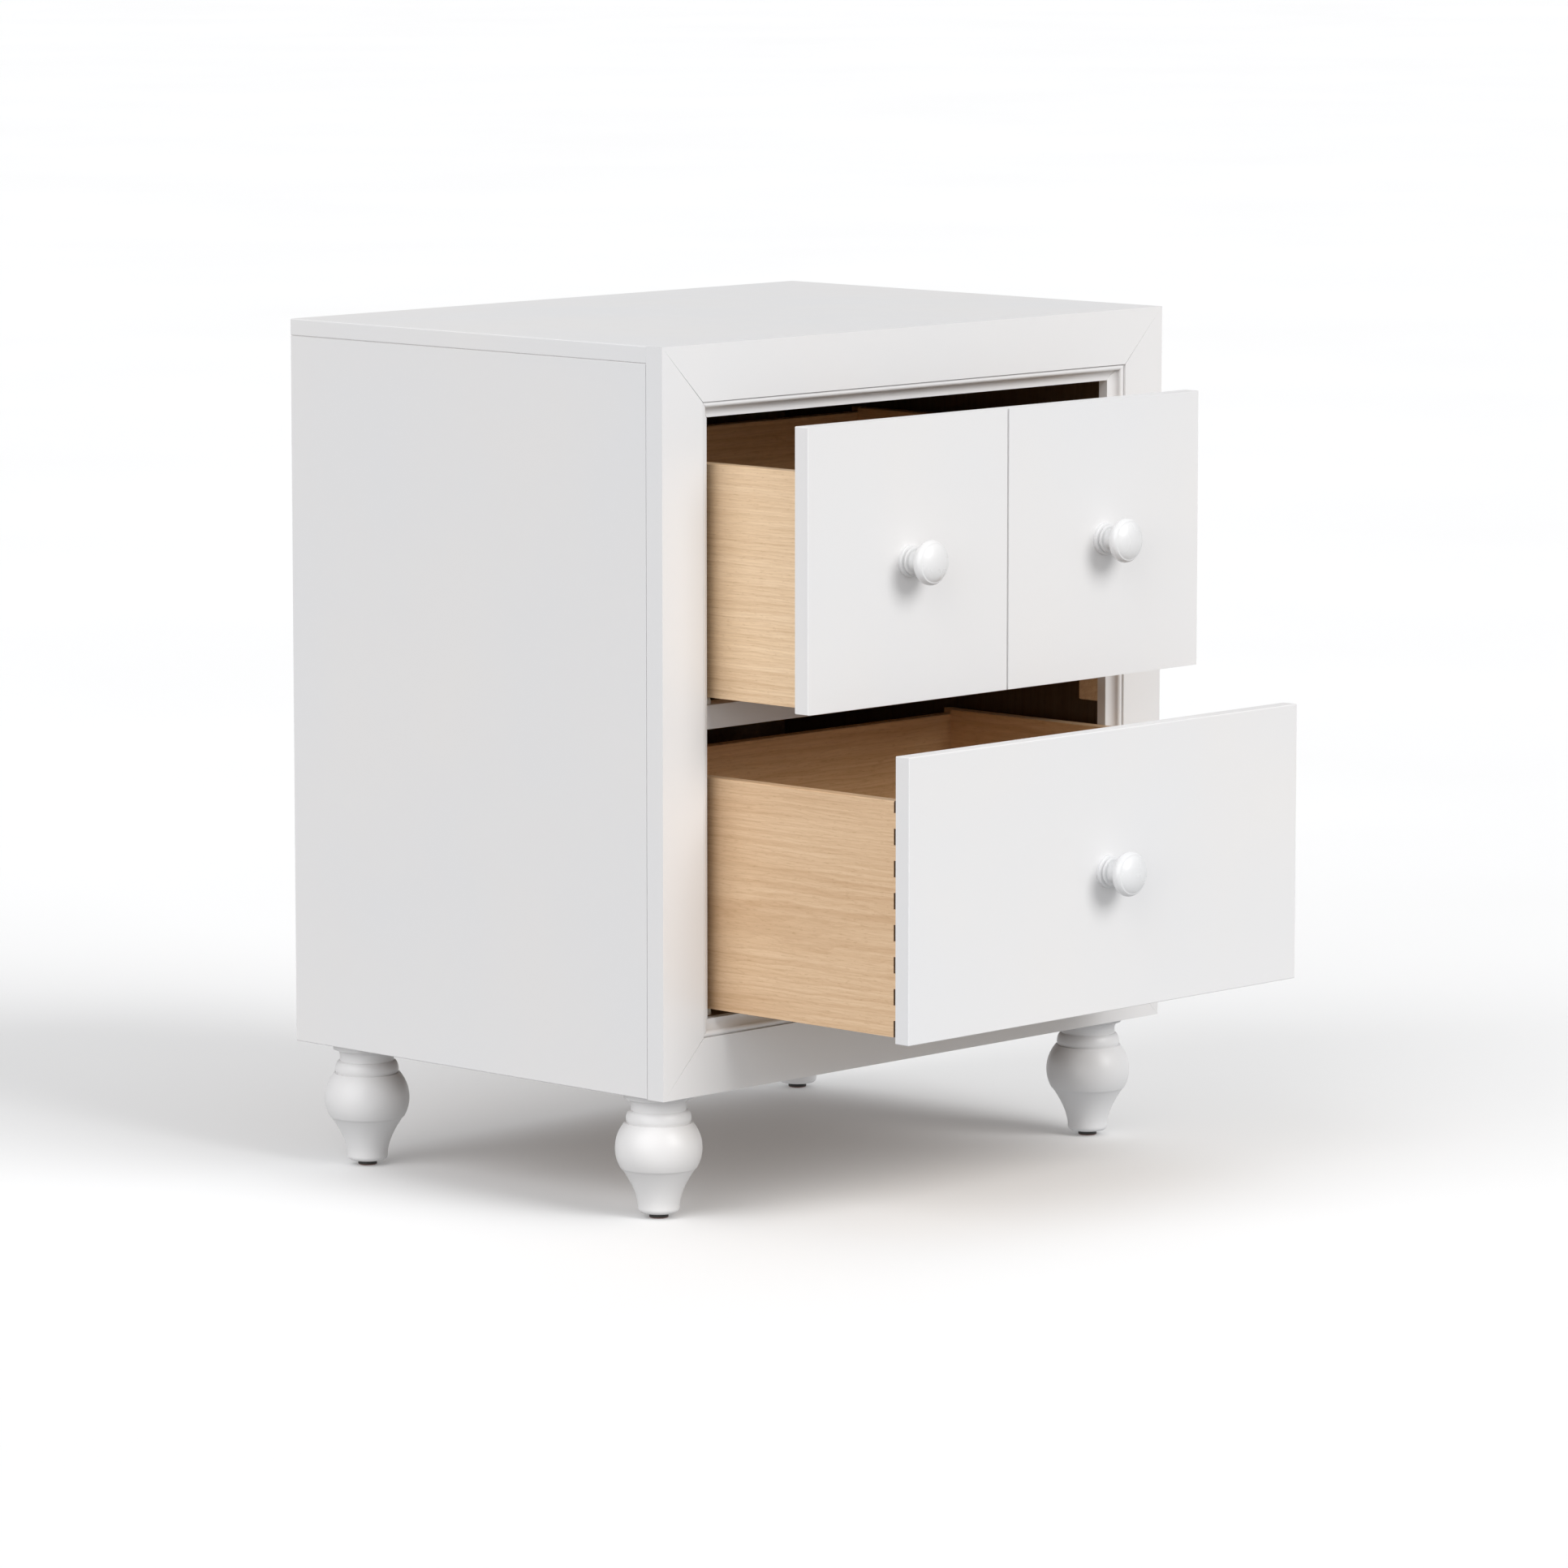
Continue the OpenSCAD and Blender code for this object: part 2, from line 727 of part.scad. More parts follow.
knob_outline = concat(
    [[0, 0], [knob_base_r, 0]],
    arc([knob_base_r - 1, 2.4], 1, 1, 0, 80, 3),
    [[knob_ring_r - 0.8, 3.6]],
    arc([knob_ring_r - 1.5, 5.4], 1.5, 1.5, -70, 70, 5),
    arc([knob_ring_r - 2, knob_neck_z], knob_ring_r - 2 - knob_neck_r, knob_neck_z - 7, 270, 180, 5),
    arc([0, knob_out], knob_r, knob_half, knob_head_from, 28, 14),
    arc([0, knob_out], knob_r - knob_rim, knob_half - knob_rim / 2, 30, 90, 8));

module knob(x, z) {
    color("white") translate([x, front_y, z + front_h / 2]) rotate([90, 0, 0]) difference() {
        rotate_extrude($fn = 96) polygon(knob_outline);
        translate([0, 0, -cut]) cylinder(h = knob_screw_in + cut + pin_gap, r = knob_screw_r + pin_gap);
    }
}

// Moves a drawer's pieces from closed to their place at rest
module upper() { translate([0, -upper_open, 0]) children(); }
module lower() { translate([0, -lower_open, 0]) children(); }

upper_knobs = [-front_w / 4, front_w / 4];
lower_knobs = [0];

module upper_front() {
    color("white") upper() difference() {
        drawer_front(upper_z, upper_knobs);
        board([-divide_w / 2, front_y - cut, upper_z - cut],
              [divide_w / 2, front_y + divide_d, upper_z + front_h + cut]);
    }
}

module upper_left_side() { upper() box_side(-1, upper_z); }
module upper_right_side() { upper() box_side(1, upper_z); }
module upper_back() { upper() box_back_board(upper_z); }
module upper_bottom() { upper() box_bottom(upper_z); }
module upper_guide_strips() { upper() guide_strips(upper_z); }
module upper_shoe() { upper() shoe(upper_z); }
module upper_shoe_screws() { color("goldenrod") upper() shoe_screws(upper_z); }
module upper_brads() { upper() brads(upper_z); }
module upper_left_knob() { upper() knob(upper_knobs[0], upper_z); }
module upper_right_knob() { upper() knob(upper_knobs[1], upper_z); }
module upper_knob_screws() { color("silver") upper() knob_screws_at(upper_knobs, upper_z); }

module lower_front() { lower() drawer_front(lower_z, lower_knobs); }
module lower_left_side() { lower() box_side(-1, lower_z); }
module lower_right_side() { lower() box_side(1, lower_z); }
module lower_back() { lower() box_back_board(lower_z); }
module lower_bottom() { lower() box_bottom(lower_z); }
module lower_guide_strips() { lower() guide_strips(lower_z); }
module lower_shoe() { lower() shoe(lower_z); }
module lower_shoe_screws() { color("goldenrod") lower() shoe_screws(lower_z); }
module lower_brads() { lower() brads(lower_z); }
module lower_knob() { lower() knob(lower_knobs[0], lower_z); }
module lower_knob_screw() { color("silver") lower() knob_screws_at(lower_knobs, lower_z); }

top_panel();
left_side_panel();
right_side_panel();
back_panel();
bottom_panel();
frame_top_rail();
frame_bottom_rail();
frame_left_stile();
frame_right_stile();
divider_rail();
lower_front_rail();
upper_rear_rail();
lower_rear_rail();
upper_runner();
lower_runner();
runner_pegs();
runner_screws();
rail_buttons();
rail_blocks();
rear_stops();
panel_dowels();
frame_dowels();
back_screws();
foot_blocks();
foot_inserts();
foot_bolts();
foot_glides();
front_left_foot();
front_right_foot();
rear_left_foot();
rear_right_foot();
upper_front();
upper_left_side();
upper_right_side();
upper_back();
upper_bottom();
upper_guide_strips();
upper_shoe();
upper_shoe_screws();
upper_brads();
upper_left_knob();
upper_right_knob();
upper_knob_screws();
lower_front();
lower_left_side();
lower_right_side();
lower_back();
lower_bottom();
lower_guide_strips();
lower_shoe();
lower_shoe_screws();
lower_brads();
lower_knob();
lower_knob_screw();
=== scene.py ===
# %% [markdown]
# # A painted nightstand with two drawers
# The real piece is a plain case on four turned feet. Its front is a mitred frame with a bead and a
# hollow round the opening, and two drawers with light maple boxes slide in it on centre runners.
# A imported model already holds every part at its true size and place. This lesson loads it, makes
# nearly every part again as a joiner would leave it, with eased edges and turned curves, and gives
# it its finish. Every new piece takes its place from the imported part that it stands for, so a part
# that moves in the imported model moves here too.

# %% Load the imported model
import json
import math

import bmesh
import bpy
from mathutils import Matrix, Vector


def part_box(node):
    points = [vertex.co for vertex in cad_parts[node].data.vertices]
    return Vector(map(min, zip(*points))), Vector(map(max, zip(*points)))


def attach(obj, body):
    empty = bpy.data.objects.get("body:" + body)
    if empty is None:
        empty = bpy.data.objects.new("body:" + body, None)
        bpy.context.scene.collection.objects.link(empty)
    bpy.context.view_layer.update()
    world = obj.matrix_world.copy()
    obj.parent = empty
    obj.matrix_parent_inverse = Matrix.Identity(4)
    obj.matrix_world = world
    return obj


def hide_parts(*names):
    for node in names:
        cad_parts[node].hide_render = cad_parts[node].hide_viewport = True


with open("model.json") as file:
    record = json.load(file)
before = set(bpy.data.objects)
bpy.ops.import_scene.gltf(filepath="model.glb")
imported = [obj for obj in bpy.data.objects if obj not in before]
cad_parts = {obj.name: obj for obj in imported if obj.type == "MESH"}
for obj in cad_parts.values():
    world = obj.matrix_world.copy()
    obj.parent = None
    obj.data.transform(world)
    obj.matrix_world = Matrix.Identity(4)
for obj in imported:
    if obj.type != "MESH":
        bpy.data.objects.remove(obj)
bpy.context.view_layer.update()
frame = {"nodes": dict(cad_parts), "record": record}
MM = 0.001

# %% [markdown]
# ## Finishes
# Each finish is a small node tree round one Principled shader. Two ideas come back in all of them: a
# fine noise that gives the surface its tooth through a Bump node, and a roughness that is never
# quite even. Paint, wood and board add a slow noise that lets the colour drift. They read Object
# coordinates, which are real metres here, so a noise scale of 700 has grains of about 1.4 mm.


# %% Two helpers that keep node trees short
def add_node(tree, kind, inputs=None, **settings):
    """Adds a shader node, sets its options, and fills or links its inputs."""
    node = tree.nodes.new(kind)
    for name, value in settings.items():
        setattr(node, name, value)
    for name, value in (inputs or {}).items():
        if isinstance(value, bpy.types.NodeSocket):
            tree.links.new(value, node.inputs[name])
        else:
            node.inputs[name].default_value = value
    return node


def new_finish(name, roughness=0.5, **constants):
    """A material whose constant values sit on the shader's own sockets."""
    material = bpy.data.materials.new(name)
    material.use_nodes = True
    shader = material.node_tree.nodes["Principled BSDF"]
    shader.inputs["Roughness"].default_value = roughness
    for socket, value in constants.items():
        shader.inputs[socket.replace("_", " ")].default_value = value
    return material, material.node_tree, shader


def sized_noise(tree, scale, detail=2.0, stretch=(1, 1, 1), rough=0.5):
    """Noise with the given scale in grains per metre, drawn out along an axis by stretch."""
    place = add_node(tree, "ShaderNodeTexCoord").outputs["Object"]
    drawn = add_node(tree, "ShaderNodeMapping", {"Vector": place, "Scale": stretch})
    return add_node(tree, "ShaderNodeTexNoise",
                    {"Vector": drawn.outputs[0], "Scale": scale, "Detail": detail, "Roughness": rough})


def ramp(tree, factor, *stops):
    """A colour ramp from pairs of position and colour."""
    node = add_node(tree, "ShaderNodeValToRGB", {"Fac": factor})
    while len(node.color_ramp.elements) < len(stops):
        node.color_ramp.elements.new(0.5)
    for element, (position, colour) in zip(node.color_ramp.elements, stops):
        element.position = position
        element.color = (*colour, 1)
    return node.outputs["Color"]


def spread(tree, factor, low, high):
    """Moves a value of 0 to 1 into the range low to high."""
    return add_node(tree, "ShaderNodeMapRange", {"Value": factor, "To Min": low, "To Max": high}).outputs[0]


def bump(tree, shader, *layers):
    """Stacks bump layers, each a height, its strength and its depth in metres."""
    normal = None
    for height, strength, depth in layers:
        inputs = {"Height": height, "Strength": strength, "Distance": depth}
        if normal is not None:
            inputs["Normal"] = normal
        normal = add_node(tree, "ShaderNodeBump", inputs).outputs["Normal"]
    tree.links.new(normal, shader.inputs["Normal"])


print("helpers ready")

# %% [markdown]
# ### Sprayed white paint
# The case is sprayed with a satin white lacquer. Three faults of the real thing make it believable:
# the white drifts a little warm and cool, the film has the fine pebble called orange peel, and under
# it the filled wood still moves in long shallow waves. All are faint, because the finish is good.


# %% White paint
def white_paint(name, tone, roughness, peel=0.05):
    material, tree, shader = new_finish(name, Coat_Weight=0.12, Coat_Roughness=0.25)
    drift = sized_noise(tree, 5, 3).outputs["Fac"]
    warm = tuple(channel * shift for channel, shift in zip(tone, (1.0, 0.992, 0.978)))
    cool = tuple(channel * shift for channel, shift in zip(tone, (0.975, 0.984, 0.99)))
    tree.links.new(ramp(tree, drift, (0.3, warm), (0.7, cool)), shader.inputs["Base Color"])
    gloss = sized_noise(tree, 38, 4).outputs["Fac"]
    tree.links.new(spread(tree, gloss, roughness - 0.05, roughness + 0.07), shader.inputs["Roughness"])
    pebble = sized_noise(tree, 620, 1).outputs["Fac"]
    waves = sized_noise(tree, 14, 2).outputs["Fac"]
    bump(tree, shader, (waves, 0.10, 2 * MM), (pebble, peel, 0.3 * MM))
    return material


paint = white_paint("satin_white", (0.775, 0.768, 0.77), 0.42)
knob_paint = white_paint("gloss_white", (0.75, 0.75, 0.755), 0.26, peel=0.03)
print("paints:", paint.name, knob_paint.name)

# %% [markdown]
# ### Wood
# A board shows the tree's year rings cut lengthwise. The Wave texture in its ring form draws those
# rings round an axis, the pith, and a saw profile with a late ramp makes each one a thin line. The
# nearer the pith lies to a board, the more its lines bend into arches, so the left sides, the right
# sides and the inner faces each have their own. Real lines come and go, so a slow noise fades them
# in patches, and a second, closer set runs faintly between them. A drift in colour lies under the
# lines, and streaks, fibres and short flecks come on top.


# %% Wood along any axis
GRAIN_TURNS = {"X": (0, math.radians(90), 0), "Y": (math.radians(90), 0, 0), "Z": (0, 0, 0)}
LOG_LEAN = (0.05, 0.03, 0)  # radians: no log lies quite straight
WAVE_LENGTH = 0.314  # from one line of the Wave texture to the next, in metres at a scale of 1
PLAIN_PITH = (0.06, 0.21)  # where the pith lies across the grain, in metres


def wood(name, pale, dark, grain, pith=PLAIN_PITH, ring=7 * MM, contrast=0.5, roughness=0.5, **constants):
    """Wood with its grain along an axis. pale and dark are its two tones, ring the width of a year."""
    material, tree, shader = new_finish(name, roughness, **constants)
    place = add_node(tree, "ShaderNodeTexCoord").outputs["Object"]
    lengthwise = add_node(tree, "ShaderNodeMapping",
                          {"Vector": place, "Rotation": GRAIN_TURNS[grain]}).outputs[0]
    log = add_node(tree, "ShaderNodeMapping",
                   {"Vector": lengthwise, "Location": (*pith, 0), "Rotation": LOG_LEAN,
                    "Scale": (1, 1, 0.2)}).outputs[0]

    def along_grain(scale, shrink, detail, rough=0.5):
        drawn = add_node(tree, "ShaderNodeMapping",
                         {"Vector": lengthwise, "Scale": (1, 1, shrink)}).outputs[0]
        return add_node(tree, "ShaderNodeTexNoise",
                        {"Vector": drawn, "Scale": scale, "Detail": detail,
                         "Roughness": rough}).outputs["Fac"]

    def ring_lines(width, wander):
        rings = add_node(tree, "ShaderNodeTexWave",
                         {"Vector": log, "Scale": WAVE_LENGTH / width, "Distortion": wander,
                          "Detail": 3.0, "Detail Scale": 0.45, "Detail Roughness": 0.55},
                         wave_type="RINGS", rings_direction="Z", wave_profile="SAW").outputs["Fac"]
        clear, hint, line = (0.04,) * 3, (0.1,) * 3, (1, 1, 1)
        return ramp(tree, rings, (0.0, clear), (0.55, hint), (0.9, line), (1.0, clear))

    def times(a, b):
        return add_node(tree, "ShaderNodeMath", {0: a, 1: b}, operation="MULTIPLY").outputs[0]

    patches = spread(tree, along_grain(26, 0.1, 2), -0.35, 1.35)
    strong = times(times(ring_lines(ring, 7.5), patches), contrast)
    faint = times(ring_lines(0.36 * ring, 11), 0.45 * contrast)
    middle = tuple(0.72 * a + 0.28 * b for a, b in zip(pale, dark))
    colour = ramp(tree, along_grain(14, 0.15, 3), (0.3, pale), (0.72, middle))
    for line in (strong, faint):
        colour = add_node(tree, "ShaderNodeMix", {"Factor": line, "A": colour, "B": (*dark, 1)},
                          data_type="RGBA").outputs["Result"]
    fibre = along_grain(1500, 0.05, 3, 0.6)
    white = (1, 1, 1)
    streaks = ramp(tree, along_grain(190, 0.02, 4), (0.36, (0.90, 0.86, 0.81)), (0.62, white))
    fibres = ramp(tree, fibre, (0.36, (0.88, 0.85, 0.81)), (0.56, white))
    flecks = ramp(tree, along_grain(620, 0.22, 2), (0.3, (0.80, 0.74, 0.67)), (0.4, white))
    for mark, amount in ((streaks, 0.8), (fibres, 0.7), (flecks, 0.5)):
        colour = add_node(tree, "ShaderNodeMix", {"Factor": amount, "A": colour, "B": mark},
                          data_type="RGBA", blend_type="MULTIPLY").outputs["Result"]
    tree.links.new(colour, shader.inputs["Base Color"])
    tree.links.new(spread(tree, fibre, roughness + 0.08, roughness - 0.08), shader.inputs["Roughness"])
    bump(tree, shader, (fibre, 0.12, 0.2 * MM), (strong, 0.06, 0.2 * MM))
    return material


# %% The woods of this piece
MAPLE_TONES = (0.88, 0.672, 0.452), (0.56, 0.342, 0.175)
BROWN_TONES = (0.20, 0.12, 0.062), (0.10, 0.055, 0.027)
BEECH_TONES = (0.72, 0.5, 0.3), (0.5, 0.32, 0.17)
PITHS = {"left": (0.185, 0.25), "right": (-0.285, 0.25), "inside": (0.02, 0.3)}
# Painted shade: the lower drawer's sides and the inner faces of the boxes are painted darker and more orange
# because they lie in more shade. The upper sides take none.
PAINTED_SHADE_TONES = {"upper": (1, 1, 1), "lower": (0.90, 0.85, 0.81), "inside": (0.92, 0.82, 0.68)}


def maple_board(name, grain, pith=PLAIN_PITH, depth=(1, 1, 1)):
    """Lacquered maple. depth darkens each channel a little, as painted shade where the maple lies in shade.
    """
    pale, dark = (tuple(a * b for a, b in zip(tone, depth)) for tone in MAPLE_TONES)
    return wood(name, pale, dark, grain, pith, contrast=0.52, roughness=0.42,
                Coat_Weight=0.12, Coat_Roughness=0.35)


maple = {grain: maple_board("maple_" + grain.lower(), grain) for grain in "XY"}
# The lower drawer's sides are painted darker than the upper ones: painted shade.
maple_sides = {(drawer, side): maple_board(f"maple_{drawer}_{side}", "Y", PITHS[side], PAINTED_SHADE_TONES[drawer])
               for drawer in ("upper", "lower") for side in ("left", "right")}
# The inner faces of the boxes get a darker, more orange maple: painted shade.
painted_shade_maple = {grain: maple_board("painted_shade_maple_" + grain.lower(), grain, PITHS["inside"], PAINTED_SHADE_TONES["inside"])
                for grain in "XY"}
brown_wood = {grain: wood("brown_wood_" + grain.lower(), *BROWN_TONES, grain, ring=5 * MM, roughness=0.62)
              for grain in "XZ"}
beech = wood("beech_dowel", *BEECH_TONES, "X", ring=3 * MM, roughness=0.6)
woods = [*maple.values(), *maple_sides.values(), *painted_shade_maple.values(), *brown_wood.values(), beech]
print("woods:", [material.name for material in woods])

# %% [markdown]
# ### Plastic, metal and board
# What the eye meets last still gets its own surface: moulded nylon and black plastic have a matte
# skin with slow waves from the mould, plated screws are metal whose roughness wanders with their
# scratches, and the back panel is pressed board with short fibres in every direction.


# %% Small finishes
def moulded(name, colour, roughness, **constants):
    material, tree, shader = new_finish(name, Base_Color=(*colour, 1), **constants)
    skin = sized_noise(tree, 900, 3).outputs["Fac"]
    tree.links.new(spread(tree, skin, roughness - 0.08, roughness + 0.08), shader.inputs["Roughness"])
    bump(tree, shader, (sized_noise(tree, 60, 1).outputs["Fac"], 0.08, MM), (skin, 0.08, 0.1 * MM))
    return material


def plated(name, colour):
    material, tree, shader = new_finish(name, Base_Color=(*colour, 1), Metallic=1.0)
    rub = sized_noise(tree, 450, 5, stretch=(1, 1, 6)).outputs["Fac"]
    tree.links.new(spread(tree, rub, 0.22, 0.48), shader.inputs["Roughness"])
    bump(tree, shader, (rub, 0.1, 0.05 * MM))
    return material


def pressed_board(name, pale, dark):
    material, tree, shader = new_finish(name)
    clump = sized_noise(tree, 130, 6, rough=0.75).outputs["Fac"]
    tree.links.new(ramp(tree, clump, (0.3, dark), (0.7, pale)), shader.inputs["Base Color"])
    tree.links.new(spread(tree, clump, 0.55, 0.72), shader.inputs["Roughness"])
    bump(tree, shader, (clump, 0.15, 0.3 * MM))
    return material


nylon = moulded("milky_nylon", (0.80, 0.78, 0.72), 0.45, Subsurface_Weight=0.05)
black_plastic = moulded("black_plastic", (0.018, 0.015, 0.013), 0.5)
brown_felt = moulded("brown_felt", (0.16, 0.075, 0.06), 0.85, Sheen_Weight=0.4)
zinc = plated("zinc_plate", (0.62, 0.63, 0.64))
brass_zinc = plated("yellow_zinc_plate", (0.72, 0.60, 0.36))
hardboard = pressed_board("hardboard", (0.30, 0.19, 0.11), (0.17, 0.10, 0.055))
print("small finishes:", [m.name for m in (nylon, black_plastic, brown_felt, zinc, brass_zinc, hardboard)])

# %% [markdown]
# ## How a piece is made here
# Every piece starts as a bmesh, Blender's mesh for editing in code, gets its shape from operators,
# and ends in one call that turns it into an object, gives it its materials, and says which packed
# nodes it stands for and which body it rides on. A Weighted Normal modifier lets the wide faces
# set the shading, so that a narrow bevel catches the light and the face beside it stays flat.

# %% Bodies and the call that finishes a piece
BODY_OF = {node: body for body, nodes in frame["record"]["behaviour"]["bodies"].items() for node in nodes}
WELD = 0.002 * MM  # points nearer than this are one point
NEAR = 0.01 * MM  # points nearer than this lie in one plane
LONG = 100 * MM  # an edge longer than this runs along a piece


def finish_piece(name, bm, materials, *nodes, sharp=38):
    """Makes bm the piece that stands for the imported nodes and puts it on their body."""
    bmesh.ops.dissolve_degenerate(bm, dist=WELD, edges=bm.edges)
    mesh = bpy.data.meshes.new(name)
    bm.to_mesh(mesh)
    bm.free()
    for material in materials if isinstance(materials, (list, tuple)) else [materials]:
        mesh.materials.append(material)
    mesh.shade_smooth()
    mesh.set_sharp_from_angle(angle=math.radians(sharp))
    piece = bpy.data.objects.new(name, mesh)
    bpy.context.scene.collection.objects.link(piece)
    even = piece.modifiers.new("even shading", "WEIGHTED_NORMAL")
    even.keep_sharp = True
    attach(piece, BODY_OF[nodes[0]])
    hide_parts(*nodes)
    print(f"{name}: {len(mesh.polygons)} faces for {', '.join(nodes)}")
    return piece


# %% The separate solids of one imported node
def solids(node):
    """Low and high corners of each solid in a node, such as each of its screws."""
    bm = bmesh.new()
    bm.from_mesh(frame["nodes"][node].data)
    bmesh.ops.remove_doubles(bm, verts=bm.verts, dist=WELD)
    waiting, found = set(bm.verts), []
    while waiting:
        island = [waiting.pop()]
        for vertex in island:
            near = [edge.other_vert(vertex) for edge in vertex.link_edges]
            fresh = [other for other in near if other in waiting]
            waiting.difference_update(fresh)
            island.extend(fresh)
        reach = [[v.co[axis] for v in island] for axis in range(3)]
        found.append((Vector(map(min, reach)), Vector(map(max, reach))))
    bm.free()
    return sorted(found, key=lambda box: tuple(round(c, 4) for c in box[0]))


print("solids:", {node: len(solids(node)) for node in ("rail_blocks", "back_screws", "upper_brads")})

# %% [markdown]
# ## Boards
# A sawn board is a cube scaled to size, with one difference that the eye never misses: its edges
# are eased with a stroke of sandpaper. Bevelling half a millimetre or so off each edge does that,
# and it is also what draws the fine grey line wherever two boards meet.


# %% Boards with eased edges
def add_board(bm, low, high, ease=0.6 * MM, segments=2):
    """Adds an eased board between two corners."""
    low, high = Vector(low), Vector(high)
    cube = bmesh.ops.create_cube(bm, size=1)["verts"]
    bmesh.ops.scale(bm, vec=high - low, verts=cube)
    bmesh.ops.translate(bm, vec=(low + high) / 2, verts=cube)
    edges = list({edge for vertex in cube for edge in vertex.link_edges})
    bmesh.ops.bevel(bm, geom=edges, offset=ease, segments=segments, profile=0.5,
                    affect="EDGES", material=-1)


def boards(name, materials, *nodes, ease=0.6 * MM, segments=2, inner=None):
    """One piece from every solid of the nodes. Faces that look along inner take the second material."""
    bm = bmesh.new()
    for node in nodes:
        for low, high in solids(node):
            add_board(bm, low, high, ease, segments)
    if inner is not None:
        for face in bm.faces:
            face.normal_update()
            face.material_index = int(face.normal.dot(Vector(inner)) > 0.9)
    return finish_piece(name, bm, materials, *nodes)


boards("top_board", [paint, brown_wood["X"]], "top_panel", ease=0.9 * MM, segments=3, inner=(0, 0, -1))
boards("bottom_board", brown_wood["X"], "bottom_panel")
boards("divider_rail_board", paint, "divider_rail")

# %% [markdown]
# ### Side panels
# Each side has a step along its rear edge that takes the back panel, so it isn't a plain box. An
# outline pushed along a line gives any board with a step or a groove in it: draw the outline as one
# face, extrude it, and ease its edges. The inner face was never painted and stays brown. A seam half
# a millimetre wide is left where the frame meets the panel, because that is the line the eye finds.


# %% A board from its outline
def extruded(outline, along):
    """A bmesh with the outline, a list of points round one face, pushed along a vector."""
    bm = bmesh.new()
    face = bm.faces.new([bm.verts.new(point) for point in outline])
    pushed = bmesh.ops.extrude_face_region(bm, geom=[face], use_keep_orig=True)["geom"]
    bmesh.ops.translate(bm, vec=along, verts=[v for v in pushed if isinstance(v, bmesh.types.BMVert)])
    bmesh.ops.recalc_face_normals(bm, faces=bm.faces)
    return bm


def ease_edges(bm, offset, test, segments=2):
    """Bevels the edges that pass the test."""
    edges = [edge for edge in bm.edges if test(edge)]
    bmesh.ops.bevel(bm, geom=edges, offset=offset, segments=segments, profile=0.5,
                    affect="EDGES", material=-1)


def turns(edge, least=40, most=120):
    """Whether an edge is an outward corner whose faces turn by between two angles."""
    return edge.is_manifold and edge.is_convex and least < math.degrees(edge.calc_face_angle(0)) < most


back_low, back_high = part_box("back_panel")
SEAM_W, SEAM_DEEP = 0.5 * MM, 1.2 * MM


def side_panel(name, node):
    low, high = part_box(node)
    outward = 1 if low.x > 0 else -1
    inner, outer = (low.x, high.x) if outward > 0 else (high.x, low.x)
    ledge = back_high.x * outward
    seam_floor, seam_wall = outer - SEAM_DEEP * outward, low.y + SEAM_W
    outline = [(inner, low.y), (seam_floor, low.y), (seam_floor, seam_wall), (outer, seam_wall),
               (outer, high.y), (ledge, high.y), (ledge, back_low.y), (inner, back_low.y)]
    bm = extruded([(x, y, low.z) for x, y in outline], (0, 0, high.z - low.z))
    ease_edges(bm, 0.7 * MM, lambda e: turns(e) and max(v.co.y for v in e.verts) > low.y + MM, segments=1)
    for face in bm.faces:
        face.material_index = int(-face.normal.x * outward > 0.9)
    return finish_piece(name, bm, [paint, brown_wood["Z"]], node)


side_panel("left_side_board", "left_side_panel")
side_panel("right_side_board", "right_side_panel")
boards("back_board", hardboard, "back_panel", ease=0.3 * MM)

# %% [markdown]
# ## The face frame
# The frame round the drawers is one moulding, mitred at its four corners like a picture frame. Its
# section is a wide flat, a quirk, a small half-round bead, a hollow and a thin lip. The section is
# drawn once, with arcs for the bead and the hollow, pushed to the length of a member, and cut at 45
# degrees with Bisect. Then the fine edges at the mitres are eased, which leaves the hairline that
# shows where two members meet.

# %% The section of the moulding
FLAT, BEAD_R, BEAD_DROP, COVE, LIP_DROP, LIP = (v * MM for v in (47, 2.5, 3.5, 6.5, 9, 2))
frame_low, frame_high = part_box("frame_top_rail")
MEMBER_W, MEMBER_T = frame_high.z - frame_low.z, frame_high.y - frame_low.y


def arc(centre, across, deep, start, end, steps):
    """Points on an arc of an ellipse, from start to end in degrees."""
    angles = [math.radians(start + (end - start) * step / steps) for step in range(steps + 1)]
    return [(centre[0] + across * math.cos(a), centre[1] + deep * math.sin(a)) for a in angles]


section = [(0, MEMBER_T), (0, 0), (FLAT, 0)]
section += arc((FLAT + BEAD_R, BEAD_DROP), BEAD_R, BEAD_R, 180, 360, 14)
section += arc((MEMBER_W - LIP, BEAD_DROP), COVE, LIP_DROP - BEAD_DROP, 168, 90, 8)
section += [(MEMBER_W, LIP_DROP), (MEMBER_W, MEMBER_T)]
print(f"moulding: {len(section)} points, {MEMBER_W / MM:.1f} by {MEMBER_T / MM:.1f} mm")


# %% One mitred member, and the four places it goes
def is_mitre(face):
    """Whether a face lies in one of the two 45 degree cuts."""
    return abs(abs(face.normal.x) - math.sqrt(0.5)) < 0.01 and abs(face.normal.y) < 0.01


def moulded_member(length):
    """A member along Z, its width along X and its depth along Y, with a mitre at each end."""
    bm = extruded([(width, depth, 0) for width, depth in section], (0, 0, length))
    for start, away in (((0, 0, 0), (1, 0, -1)), ((0, 0, length), (1, 0, 1))):
        every = bm.verts[:] + bm.edges[:] + bm.faces[:]
        bmesh.ops.bisect_plane(bm, geom=every, plane_co=start, plane_no=away, clear_outer=True)
    bmesh.ops.holes_fill(bm, edges=[edge for edge in bm.edges if edge.is_boundary])
    bmesh.ops.recalc_face_normals(bm, faces=bm.faces)
    ease_edges(bm, 0.9 * MM, lambda e: turns(e, 80, 100) and e.verts[0].co.x < MM
               and abs((e.verts[0].co - e.verts[1].co).x) < MM, segments=3)
    ease_edges(bm, 0.45 * MM, lambda e: turns(e, 30, 100) and any(map(is_mitre, e.link_faces)), segments=1)
    return bm


